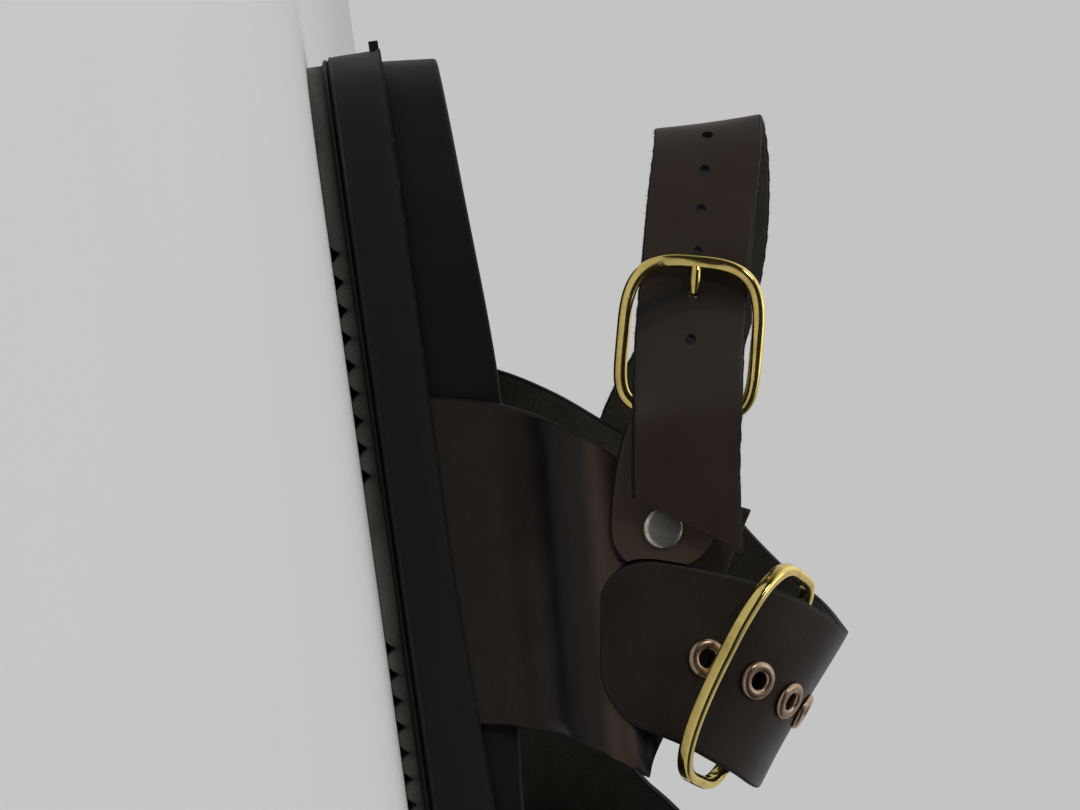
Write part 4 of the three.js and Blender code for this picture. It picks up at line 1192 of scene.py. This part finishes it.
def build_ring(node, at, sizes, gold):
    """A closed ring of wire in the plane of its two bars"""
    plane = unit(np.cross(at["along"], at["across"]))
    line = buckle_path(at, sizes["half_width"], sizes["hidden_power"], sizes["free_power"])
    wire = 2 * sizes["wire"]
    ring = make_wire(f"{node}_ring", line, True, plane, wire, sizes["flat"] * wire, sizes["corner"], gold)
    return settle(ring, "gold_plate", node)


def build_buckles(metal):
    gold = gold_plate(metal)
    build_ring("instep_buckle", instep_buckle_frame(), INSTEP_BUCKLE, gold)
    build_ring("heel_buckle", heel_buckle_frame(), HEEL_BUCKLE, gold)
    build_prong(heel_buckle_frame(), gold)


def build_prong(at, gold):
    """The heel buckle's prong, from its blunt tip on the free bar over the strap and down into a hole"""
    middle, outward = STRAP_LINE.hole(PRONG["hole"])
    tip = middle + outward * (LEATHER / 2 + GAP + PRONG["radius"])
    bar = at["centre"] - at["along"]
    sink = middle - outward * LEATHER / 4
    corners = np.stack([bar, bar * 0.25 + tip * 0.75, tip * 0.8 + sink * 0.2, sink])
    t = np.linspace(0, 1, 14)[:, None]
    line = ((1 - t) ** 3 * corners[0] + 3 * (1 - t) ** 2 * t * corners[1]
            + 3 * (1 - t) * t**2 * corners[2] + t**3 * corners[3])
    plane = unit(np.cross(at["along"], at["across"]))
    size = 2 * PRONG["radius"]
    swell = np.interp(t[:, 0], PRONG["share"], PRONG["swell"])
    wire = make_wire("heel_buckle_prong", line, False, plane, size, size, PRONG["corner"], gold, swell)
    settle(wire, "gold_plate", "heel_buckle")


def turned_mesh(name, profile, sides=48):
    """A closed turned piece about Z, its profile given as radius and height in millimetres"""
    turn = np.linspace(0, 2 * math.pi, sides, endpoint=False)
    rows = [np.stack([r * np.cos(turn), r * np.sin(turn), np.full(sides, z)], axis=-1) for r, z in profile]
    shape = Shape()
    index = shape.grid(np.stack(rows) - SHIFT)
    shape.skin(index, closed=True)
    if profile[0] != profile[-1]:
        shape.polygon(index[0])
        shape.polygon(index[-1][::-1])
    return shape.made(name, [], 40)


def seat_points(name, seats):
    """A mesh of single points, each with its outward direction"""
    mesh = bpy.data.meshes.new(name)
    mesh.from_pydata([tuple((point + SHIFT) / 1000) for point, _ in seats], [], [])
    attribute = mesh.attributes.new("out", "FLOAT_VECTOR", "POINT")
    attribute.data.foreach_set("vector", np.array([normal for _, normal in seats]).ravel())
    piece = bpy.data.objects.new(name, mesh)
    bpy.context.scene.collection.objects.link(piece)
    return piece


def set_on_seats(name, seats, turned, material):
    """One mesh with a copy of the turned piece on every seat"""
    values = {"Piece": turned, "Size": 1.0, "Material": material}
    piece = run_tree(seat_points(name, seats), seat_tree(), values)
    bpy.data.objects.remove(turned)
    piece.data.shade_smooth()
    piece.data.set_sharp_from_angle(angle=math.radians(40))
    return piece


def build_eyelets(metal):
    flange, bore, barrel = EYELET["flange"], EYELET["bore"], EYELET["barrel"]
    top = GAP + EYELET["thickness"]
    foot = GAP * 0.2
    # the rolled lip, from its outer foot over the broad flange into the bore
    profile = [
        (bore, -EYELET["depth"]), (barrel, -EYELET["depth"]), (barrel, foot), (flange - 0.12, foot),
        (flange, foot + 0.14), (flange - 0.04, 0.4 * top), (flange - 0.25, 0.7 * top),
        (flange - 0.65, 0.9 * top), (flange - 1.1, top), (bore + 0.75, 0.98 * top),
        (bore + 0.35, 0.86 * top), (bore + 0.1, 0.62 * top), (bore, 0.25 * top), (bore, -EYELET["depth"]),
    ]
    turned = turned_mesh("eyelet_turned", profile)
    seats = [eyelet_seat(angle) for angle in EYELET_ANGLES]
    piece = set_on_seats("eyelets", seats, turned, copper_plate(metal))
    nodes = [f"eyelet_{k + 1}" for k in range(len(EYELET_ANGLES))]
    return settle(piece, "copper_eyelet", *nodes)


def build_rivets(metal):
    steel = rivet_steel(metal)
    head, dome, shank = RIVET["head"], RIVET["dome"], RIVET["shank"]
    for side, name in ((-1, "rivet_outer"), (1, "rivet_inner")):
        outer_face = LEATHER + (TAB_LIFT if side < 0 else STRAP_END_LIFT)
        back = -outer_face - GAP
        top = GAP + dome
        # the back plate, the shank and the head with its rounded rim
        profile = [
            (0.01, back - 0.8), (head - 1.2, back - 0.8), (head - 1, back - 0.6), (head - 1, back),
            (shank, back), (shank, GAP), (head - 0.15, GAP), (head, GAP + 0.15),
            (head, top - 0.65), (head - 0.2, top - 0.35), (head - 0.6, top - 0.17),
            (head - 1.2, top - 0.1), (1.5, top - 0.02), (0.01, top),
        ]
        turned = turned_mesh(f"{name}_turned", profile)
        piece = set_on_seats(f"{name}_head", [rivet_seat(side, outer_face)], turned, steel)
        settle(piece, "rivet_steel", name)


def build_nap(leather, host):
    """Fibres on the heel strap's suede side and edges"""
    mesh = host.data.copy()
    piece = bpy.data.objects.new("strap_fibres", mesh)
    bpy.context.scene.collection.objects.link(piece)
    values = {"Density": leather.fibre_density * 1e6, "Length": leather.fibre_length / 1000,
              "Thickness": FIBRE["thickness"] / 1000, "Seed": FIBRE["seed"], "Material": suede_fibre(leather)}
    return settle(run_tree(piece, nap_tree(), values), "brown_leather")


# Materials
def linear(colour):
    """Linear colour of an sRGB hex value such as 2f2622"""
    parts = [int(colour[k:k + 2], 16) / 255 for k in (0, 2, 4)]
    return [p / 12.92 if p <= 0.04045 else ((p + 0.055) / 1.055) ** 2.4 for p in parts] + [1.0]


def as_hex(colour):
    """sRGB hex value of a colour property, whose numbers are sRGB"""
    return "".join(f"{round(part * 255):02x}" for part in colour)


def per_mm(size):
    """Texture scale for a pattern of a size in millimetres, in Object coordinates"""
    return 1000 / size


def start_finish(name, metallic=0.0, roughness=0.5, ior=1.5, coat=0.0, coat_roughness=0.1, specular=0.5):
    """A material with its shader's constants set; returns it with its tree, shader and coordinates"""
    material = bpy.data.materials.new(name)
    material.use_nodes = True
    tree = material.node_tree
    shader = tree.nodes["Principled BSDF"]
    fixed = {"Metallic": metallic, "Roughness": roughness, "IOR": ior, "Coat Weight": coat,
             "Coat Roughness": coat_roughness, "Specular IOR Level": specular}
    for socket, value in fixed.items():
        shader.inputs[socket].default_value = value
    place = add_node(tree, "ShaderNodeTexCoord").outputs["Object"]
    return material, tree, shader, place


def noise_field(tree, place, size, detail=3.0, rough=0.5, stretch=None):
    """Noise of a size in millimetres; stretch lengthens it along an axis"""
    if stretch:
        mapping = add_node(tree, "ShaderNodeMapping", inputs={"Vector": place, "Scale": stretch})
        place = mapping.outputs["Vector"]
    return add_node(tree, "ShaderNodeTexNoise", inputs={
        "Vector": place, "Scale": per_mm(size), "Detail": detail, "Roughness": rough}).outputs["Fac"]


def blend_colours(tree, factor, low, high):
    """A colour between two, each a hex value or a socket"""
    ramp = add_node(tree, "ShaderNodeMix", {"data_type": "RGBA"}, {0: factor})
    for index, colour in ((6, low), (7, high)):
        if isinstance(colour, bpy.types.NodeSocket):
            tree.links.new(colour, ramp.inputs[index])
        else:
            ramp.inputs[index].default_value = linear(colour)
    return ramp.outputs[2]


def span(tree, value, low, high, to_low, to_high):
    """The value moved from one range to another, and kept inside it"""
    ranged = add_node(tree, "ShaderNodeMapRange", inputs={
        "Value": value, "From Min": low, "From Max": high, "To Min": to_low, "To Max": to_high})
    return ranged.outputs["Result"]


def raise_bump(tree, shader, height, depth, strength=1.0, under=None):
    """Bump of a real depth in millimetres"""
    inputs = {"Height": height, "Distance": depth / 1000, "Strength": strength}
    if under:
        inputs["Normal"] = under
    bump = add_node(tree, "ShaderNodeBump", inputs=inputs).outputs["Normal"]
    tree.links.new(bump, shader.inputs["Normal"])
    return bump


def smooth_leather(leather):
    """Cowhide with a pressed, waxed top: nearly even colour, fine pores, a soft satin gloss"""
    material, tree, shader, place = start_finish("waxed_cowhide", ior=1.48, coat=0.06,
                                                 coat_roughness=0.3, specular=0.28)
    base = as_hex(leather.colour)
    cloudy = noise_field(tree, place, 16, 2.5)
    fibres = noise_field(tree, place, 1.1, 4)
    colour = blend_colours(tree, span(tree, cloudy, 0.3, 0.7, 0, 1), base, "2c231d")
    colour = blend_colours(tree, span(tree, fibres, 0.45, 0.75, 0, 0.35), colour, "161110")
    # painted shade darkens the troughs of the folds and the strap just past the buckle's bar, and painted
    # highlights lighten the folds' ridges and the whole tab; the strap is also a little paler all over
    wear = add_node(tree, "ShaderNodeAttribute", {"attribute_name": "wear"}).outputs["Fac"]
    colour = blend_colours(tree, span(tree, wear, -0.2, -1.5, 0, 0.9), colour, "0a0807")
    colour = blend_colours(tree, span(tree, wear, 0.3, 1.2, 0, 0.7), colour, "54453a")
    tree.links.new(colour, shader.inputs["Base Color"])
    tree.links.new(span(tree, cloudy, 0.3, 0.7, 0.4, 0.54), shader.inputs["Roughness"])
    # hair pores and pressed grain, each cell about half a millimetre wide
    cells = add_node(tree, "ShaderNodeTexVoronoi", {"feature": "SMOOTH_F1"},
                     {"Vector": place, "Scale": per_mm(0.55), "Randomness": 0.9}).outputs["Distance"]
    grain = raise_bump(tree, shader, cells, 0.03, 0.35)
    raise_bump(tree, shader, noise_field(tree, place, 5, 3), 0.12, 0.5, under=grain)
    return material


def suede_side(leather):
    """The hide's flesh side: a matt, fuzzy nap with lighter and darker patches"""
    material, tree, shader, place = start_finish("flesh_side_suede", roughness=0.95, ior=1.45, specular=0.2)
    shader.inputs["Sheen Weight"].default_value = 0.35
    shader.inputs["Sheen Roughness"].default_value = 0.6
    nap = noise_field(tree, place, 0.7, 5, 0.7)
    patches = noise_field(tree, place, 9, 2)
    colour = blend_colours(tree, span(tree, nap, 0.3, 0.7, 0, 1), as_hex(leather.suede), "565040")
    colour = blend_colours(tree, span(tree, patches, 0.35, 0.7, 0, 0.6), colour, "231f17")
    tree.links.new(colour, shader.inputs["Base Color"])
    raise_bump(tree, shader, nap, 0.25, 0.8)
    return material


def dyed_edge(leather):
    """A cut edge dyed black, with a few pale fibres left"""
    material, tree, shader, place = start_finish("dyed_cut_edge", roughness=0.7, ior=1.48, specular=0.35)
    fibres = noise_field(tree, place, 0.5, 4, 0.7)
    colour = blend_colours(tree, span(tree, fibres, 0.6, 0.75, 0, 0.3), as_hex(leather.edge), "3a3028")
    tree.links.new(colour, shader.inputs["Base Color"])
    raise_bump(tree, shader, fibres, 0.12, 0.7)
    return material


def suede_fibre(leather):
    """Loose fibres of the flesh side, paler than the hide"""
    material, tree, shader, place = start_finish("loose_hide_fibre", roughness=0.9, ior=1.45, specular=0.2)
    shade = noise_field(tree, place, 4, 2)
    colour = blend_colours(tree, shade, "3f3a2d", "6b6452")
    tree.links.new(colour, shader.inputs["Base Color"])
    return material


def band_rubber(sole):
    """Moulded black rubber with a smooth, dull skin, a few pale scuffs and dried glue at the seam"""
    material, tree, shader, place = start_finish("moulded_black_rubber", ior=1.52, specular=0.3)
    smears = noise_field(tree, place, 14, 4, 0.6)
    dust = noise_field(tree, place, 1.6, 5, 0.7)
    colour = blend_colours(tree, span(tree, smears, 0.35, 0.75, 0, 0.5), as_hex(sole.band), "1c1c1a")
    colour = blend_colours(tree, span(tree, dust, 0.66, 0.8, 0, 0.25), colour, "6b6a64")
    # traces of dried glue along the top seam
    seam = add_node(tree, "ShaderNodeAttribute", {"attribute_name": "seam"}).outputs["Fac"]
    traces = span(tree, noise_field(tree, place, 2.5, 5, 0.75), 0.52, 0.66, 0, 0.3)
    glue = add_node(tree, "ShaderNodeMath", {"operation": "MULTIPLY"}, {0: seam, 1: traces}).outputs["Value"]
    colour = blend_colours(tree, glue, colour, "55544e")
    tree.links.new(colour, shader.inputs["Base Color"])
    worn = span(tree, smears, 0.3, 0.7, 0.42, 0.6)
    dull = add_node(tree, "ShaderNodeMath", {"operation": "MULTIPLY_ADD", "use_clamp": True},
                    {0: seam, 1: 0.5, 2: worn})
    tree.links.new(dull.outputs["Value"], shader.inputs["Roughness"])
    raise_bump(tree, shader, noise_field(tree, place, 3, 3), 0.05, 0.4)
    return material


def footbed_rubber(sole):
    """Moulded foam rubber with a closed matt skin, a little glossier in worn patches"""
    material, tree, shader, place = start_finish("moulded_foam_rubber", specular=0.22)
    patches = noise_field(tree, place, 12, 3, 0.6)
    colour = blend_colours(tree, span(tree, patches, 0.35, 0.7, 0, 0.6), as_hex(sole.band), "191917")
    tree.links.new(colour, shader.inputs["Base Color"])
    tree.links.new(span(tree, patches, 0.3, 0.7, 0.45, 0.62), shader.inputs["Roughness"])
    pits = add_node(tree, "ShaderNodeTexVoronoi", inputs={"Vector": place, "Scale": per_mm(0.9)})
    raise_bump(tree, shader, pits.outputs["Distance"], 0.03, 0.35)
    return material


def tread_rubber(sole):
    """Worn grey-brown tread rubber: chalky dust on the crests and pad, darker grooves"""
    material, tree, shader, place = start_finish("worn_tread_rubber", roughness=0.8, ior=1.5, specular=0.35)
    groove = add_node(tree, "ShaderNodeAttribute", {"attribute_name": "groove"}).outputs["Fac"]
    smears = noise_field(tree, place, 7, 4, 0.6, stretch=(0.35, 1, 1))
    dust = noise_field(tree, place, 0.9, 4, 0.7)
    colour = blend_colours(tree, span(tree, smears, 0.3, 0.7, 0, 1), as_hex(sole.tread), "7d7a70")
    colour = blend_colours(tree, span(tree, dust, 0.55, 0.8, 0, 0.5), colour, "8f8b80")
    colour = blend_colours(tree, span(tree, groove, 0.1, 1, 0, 0.85), colour, "2e2c27")
    tree.links.new(colour, shader.inputs["Base Color"])
    raise_bump(tree, shader, dust, 0.08, 0.5)
    return material


def gold_plate(metal):
    """Zinc-alloy wire, polished and plated in pale gold: bright, with soft waves and small pits"""
    material, tree, shader, place = start_finish("gold_plated_zinc", metallic=1.0)
    tarnish = noise_field(tree, place, 5, 4, 0.6)
    colour = blend_colours(tree, span(tree, tarnish, 0.45, 0.75, 0, 0.5), as_hex(metal.gold), "94793f")
    tree.links.new(colour, shader.inputs["Base Color"])
    tree.links.new(span(tree, tarnish, 0.3, 0.7, 0.04, 0.16), shader.inputs["Roughness"])
    waves = raise_bump(tree, shader, noise_field(tree, place, 9, 0), 0.7, 0.5)
    pits = span(tree, noise_field(tree, place, 1.4, 2, 0.6), 0.25, 0.36, 0, 1)
    raise_bump(tree, shader, pits, 0.05, 0.3, under=waves)
    return material


def copper_plate(metal):
    """Pressed eyelet with a satin rose-copper plating, paler where it is worn"""
    material, tree, shader, place = start_finish("satin_copper_plate", metallic=1.0)
    wear = noise_field(tree, place, 2.4, 4, 0.6)
    colour = blend_colours(tree, span(tree, wear, 0.4, 0.7, 0, 0.6), as_hex(metal.copper), "88725f")
    tree.links.new(colour, shader.inputs["Base Color"])
    tree.links.new(span(tree, wear, 0.3, 0.7, 0.22, 0.38), shader.inputs["Roughness"])
    raise_bump(tree, shader, wear, 0.04, 0.3)
    return material


def rivet_steel(metal):
    """Nickelled steel rivet, pressed flat, with a satin face and fine scratches"""
    material, tree, shader, place = start_finish("satin_nickel_steel", metallic=1.0)
    scratches = noise_field(tree, place, 1.2, 5, 0.7, stretch=(1, 0.2, 0.2))
    colour = blend_colours(tree, span(tree, scratches, 0.4, 0.7, 0, 1), as_hex(metal.steel), "a3a297")
    tree.links.new(colour, shader.inputs["Base Color"])
    tree.links.new(span(tree, scratches, 0.3, 0.7, 0.26, 0.42), shader.inputs["Roughness"])
    raise_bump(tree, shader, scratches, 0.03, 0.3)
    return material


def studio_floor(stage):
    """A pale painted board, matt and even"""
    material, tree, shader, place = start_finish("pale_painted_board", roughness=0.9, ior=1.45, specular=0.15)
    paint = noise_field(tree, place, 60, 3)
    colour = blend_colours(tree, paint, as_hex(stage.floor), "e7e7e7")
    tree.links.new(colour, shader.inputs["Base Color"])
    return material


# Stage
VIEW = {
    # the camera lies just over the floor, rolled so that the heel is up in the picture; the target
    # is in millimetres, and lies aside and below by so many pixels from the picture's middle
    "target": (113, -36, 45),
    "azimuth": 8.16,
    "elevation": 2.5,
    "lean": 7.6,
    "distance": 671.7,
    "aside": 34,
    "below": 133.4,
}
PICTURE = {"width": 1080, "sensor_mm": 36}
SOFTBOXES = {
    # place and size in metres
    "key_softbox": {"place": (-0.8, -0.9, 0.9), "size": 0.3},
    "top_softbox": {"place": (0.1, -0.3, 1.3), "size": 0.6},
}
LIT_POINT = (0, 0, 0.04)
FLOOR_HALF = 12


def camera_directions():
    """Right, down and forward of the picture, as unit vectors in the frame"""
    azimuth, elevation, lean = (math.radians(VIEW[key]) for key in ("azimuth", "elevation", "lean"))
    forward = Vector((math.cos(elevation) * math.sin(azimuth), math.cos(elevation) * math.cos(azimuth),
                      math.sin(elevation)))
    toe = Vector((1, 0, 0))
    down = (toe - forward * toe.dot(forward)).normalized()
    right = down.cross(forward)
    leaning_right = right * math.cos(lean) + down * math.sin(lean)
    leaning_down = down * math.cos(lean) - right * math.sin(lean)
    return leaning_right, leaning_down, forward


def build_camera(stage):
    right, down, forward = camera_directions()
    camera = bpy.data.cameras.new("studio_camera")
    camera.lens = stage.lens
    camera.sensor_width = PICTURE["sensor_mm"]
    camera.clip_start = 0.01
    camera.clip_end = 50
    holder = bpy.data.objects.new("studio_camera", camera)
    bpy.context.scene.collection.objects.link(holder)
    pixels = stage.lens / PICTURE["sensor_mm"] * PICTURE["width"]
    ray = forward + right * (VIEW["aside"] / pixels) + down * (VIEW["below"] / pixels)
    target = (Vector(VIEW["target"]) + Vector(SHIFT)) / 1000
    holder.location = target - ray * (VIEW["distance"] / 1000)
    turn = Matrix((right, -down, -forward)).transposed()
    holder.rotation_euler = turn.to_euler()
    bpy.context.scene.camera = holder


def add_softbox(name, power):
    place = Vector(SOFTBOXES[name]["place"])
    light = bpy.data.lights.new(name, "AREA")
    light.shape = "SQUARE"
    light.size = SOFTBOXES[name]["size"]
    light.energy = power
    holder = bpy.data.objects.new(name, light)
    holder.location = place
    holder.rotation_euler = (Vector(LIT_POINT) - place).to_track_quat("-Z", "Y").to_euler()
    bpy.context.scene.collection.objects.link(holder)


def build_world(stage):
    """A soft grey room: dark in front of the shoe, pale behind it, white overhead"""
    world = bpy.data.worlds.new("grey_room")
    world.use_nodes = True
    bpy.context.scene.world = world
    tree = world.node_tree
    place = add_node(tree, "ShaderNodeTexCoord").outputs["Generated"]
    heading = add_node(tree, "ShaderNodeSeparateXYZ", inputs={"Vector": place})
    behind = span(tree, heading.outputs["Y"], -0.1, 0.6, 0, 1)
    colour = blend_colours(tree, behind, as_hex(stage.room_front), as_hex(stage.room_back))
    # in front the white ceiling starts higher up, so that the leather facing the camera stays dark
    front = add_node(tree, "ShaderNodeMath", {"operation": "MINIMUM"}, {0: heading.outputs["Y"], 1: 0.0})
    height = add_node(tree, "ShaderNodeMath", {"operation": "MULTIPLY_ADD"},
                      {0: front.outputs["Value"], 1: 0.6, 2: heading.outputs["Z"]})
    overhead = span(tree, height.outputs["Value"], 0.3, 0.7, 0, 1)
    # and it fades towards the toe, which gives the metal and the gloss their dark sides
    heel_side = span(tree, heading.outputs["X"], -0.1, 0.5, 1, 0.2)
    white = add_node(tree, "ShaderNodeMath", {"operation": "MULTIPLY"}, {0: overhead, 1: heel_side})
    colour = blend_colours(tree, white.outputs["Value"], colour, as_hex(stage.ceiling))
    tree.links.new(colour, tree.nodes["Background"].inputs["Color"])


def build_floor(stage):
    mesh = bpy.data.meshes.new("studio_floor")
    half = FLOOR_HALF
    corners = [(-half, -half, 0), (half, -half, 0), (half, half, 0), (-half, half, 0)]
    mesh.from_pydata(corners, [], [(0, 1, 2, 3)])
    mesh.materials.append(studio_floor(stage))
    floor = bpy.data.objects.new("studio_floor", mesh)
    bpy.context.scene.collection.objects.link(floor)


def build_stage(stage):
    bpy.context.scene.view_settings.view_transform = "Standard"
    build_camera(stage)
    build_world(stage)
    build_floor(stage)
    add_softbox("key_softbox", stage.key_power)
    add_softbox("top_softbox", stage.top_power)


# Properties, operators and panel
def colour_property(name, description, value):
    default = [int(value[k:k + 2], 16) / 255 for k in (0, 2, 4)]
    return FloatVectorProperty(name=name, description=description, default=default, size=3, min=0, max=1,
                               subtype="COLOR_GAMMA")


class SandalSole(bpy.types.PropertyGroup):
    rib_depth: FloatProperty(name="Rib depth", description="Depth of the tread's grooves, in mm", default=2.0)
    rib_crest: FloatProperty(name="Rib crest", description="Width of a rib's flat crest, in mm", default=2.4)
    band: colour_property("Band colour", "Black rubber of the band and the footbed", "121211")
    tread: colour_property("Tread colour", "Worn rubber of the tread", "5f5c54")


class SandalLeather(bpy.types.PropertyGroup):
    colour: colour_property("Leather colour", "Dark brown of the smooth side", "261d17")
    suede: colour_property("Suede colour", "Grey-olive of the flesh side", "39352a")
    edge: colour_property("Edge colour", "Dye of the cut edges", "0f0d0c")
    crease: FloatProperty(name="Creases", description="Depth of the soft folds, 1 as in the photo", default=1)
    fibre_density: FloatProperty(name="Fibres per mm2", description="Loose fibres of the suede", default=0.9)
    fibre_length: FloatProperty(name="Fibre length", description="A loose fibre's length in mm", default=0.9)


class SandalMetal(bpy.types.PropertyGroup):
    gold: colour_property("Gold plate", "Plating of the buckles", "ead27f")
    copper: colour_property("Copper plate", "Plating of the eyelets", "b39a84")
    steel: colour_property("Rivet steel", "Nickelled steel of the rivets", "d2d1c6")


class SandalStage(bpy.types.PropertyGroup):
    lens: FloatProperty(name="Lens", description="Focal length of the camera", default=100, unit="CAMERA")
    floor: colour_property("Floor", "Pale painted floor", "eaeaea")
    room_front: colour_property("Room in front", "The room on the camera's side", "2a2a2b")
    room_back: colour_property("Room behind", "The room behind the shoe", "c4c4c4")
    ceiling: colour_property("Ceiling", "The room overhead", "ffffff")
    key_power: FloatProperty(name="Key light", description="Softbox at the heel", default=2.4, unit="POWER")
    top_power: FloatProperty(name="Top light", description="Softbox over the shoe", default=1.1, unit="POWER")


def leather_materials(leather):
    """The three finishes of every leather piece, made once"""
    made = [bpy.data.materials.get(name) for name in ("waxed_cowhide", "flesh_side_suede", "dyed_cut_edge")]
    return made if all(made) else [smooth_leather(leather), suede_side(leather), dyed_edge(leather)]


class SANDAL_OT_sole(bpy.types.Operator):
    """Builds the tread, the side band and the footbed"""

    bl_idname = "sandal.sole"
    bl_label = "Build sole"

    def execute(self, context):
        sole = context.scene.sandal_sole
        build_tread(sole)
        build_band(sole)
        build_footbed(sole)
        return {"FINISHED"}


class SANDAL_OT_upper(bpy.types.Operator):
    """Builds the quarters, the instep strap and the link of its buckle"""

    bl_idname = "sandal.upper"
    bl_label = "Build upper"

    def execute(self, context):
        leather = context.scene.sandal_leather
        materials = leather_materials(leather)
        build_outer_quarter(leather, materials)
        build_buckle_link(leather, materials)
        build_instep_strap(leather, materials)
        return {"FINISHED"}


class SANDAL_OT_front_strap(bpy.types.Operator):
    """Builds the strap over the ball of the foot"""

    bl_idname = "sandal.front_strap"
    bl_label = "Build front strap"

    def execute(self, context):
        leather = context.scene.sandal_leather
        build_front_strap(leather, leather_materials(leather))
        return {"FINISHED"}


class SANDAL_OT_heel_strap(bpy.types.Operator):
    """Builds the heel strap with its fibres, and the short tab of its buckle"""

    bl_idname = "sandal.heel_strap"
    bl_label = "Build heel strap"

    def execute(self, context):
        leather = context.scene.sandal_leather
        materials = leather_materials(leather)
        build_nap(leather, build_heel_strap(leather, materials))
        build_heel_tab(leather, materials)
        return {"FINISHED"}


class SANDAL_OT_buckles(bpy.types.Operator):
    """Builds both buckles and the prong"""

    bl_idname = "sandal.buckles"
    bl_label = "Build buckles"

    def execute(self, context):
        build_buckles(context.scene.sandal_metal)
        return {"FINISHED"}


class SANDAL_OT_eyelets(bpy.types.Operator):
    """Builds the eyelets and the rivets"""

    bl_idname = "sandal.eyelets"
    bl_label = "Build eyelets and rivets"

    def execute(self, context):
        metal = context.scene.sandal_metal
        build_eyelets(metal)
        build_rivets(metal)
        return {"FINISHED"}


class SANDAL_OT_stage(bpy.types.Operator):
    """Builds the floor, the lights and the camera"""

    bl_idname = "sandal.stage"
    bl_label = "Build stage"

    def execute(self, context):
        build_stage(context.scene.sandal_stage)
        return {"FINISHED"}


OPERATORS = (
    SANDAL_OT_sole,
    SANDAL_OT_upper,
    SANDAL_OT_front_strap,
    SANDAL_OT_heel_strap,
    SANDAL_OT_buckles,
    SANDAL_OT_eyelets,
    SANDAL_OT_stage,
)
GROUPS = {
    "sandal_sole": SandalSole,
    "sandal_leather": SandalLeather,
    "sandal_metal": SandalMetal,
    "sandal_stage": SandalStage,
}


class SANDAL_PT_panel(bpy.types.Panel):
    """Sizes, colours and builders of the sandal"""

    bl_label = "Sandal"
    bl_idname = "SANDAL_PT_panel"
    bl_space_type = "VIEW_3D"
    bl_region_type = "UI"
    bl_category = "Sandal"

    def draw(self, context):
        for key, group in GROUPS.items():
            column = self.layout.column(align=True)
            for name in group.__annotations__:
                column.prop(getattr(context.scene, key), name)
        for operator in OPERATORS:
            self.layout.operator(operator.bl_idname)


def register():
    for part in (*GROUPS.values(), *OPERATORS, SANDAL_PT_panel):
        bpy.utils.register_class(part)
    for key, group in GROUPS.items():
        setattr(bpy.types.Scene, key, PointerProperty(type=group))


def unregister():
    for key in GROUPS:
        delattr(bpy.types.Scene, key)
    for part in reversed((*GROUPS.values(), *OPERATORS, SANDAL_PT_panel)):
        bpy.utils.unregister_class(part)


def main():
    register()
    bpy.ops.sandal.sole()
    bpy.ops.sandal.upper()
    bpy.ops.sandal.front_strap()
    bpy.ops.sandal.heel_strap()
    bpy.ops.sandal.buckles()
    bpy.ops.sandal.eyelets()
    bpy.ops.sandal.stage()


if __name__ == "__main__":
    main()
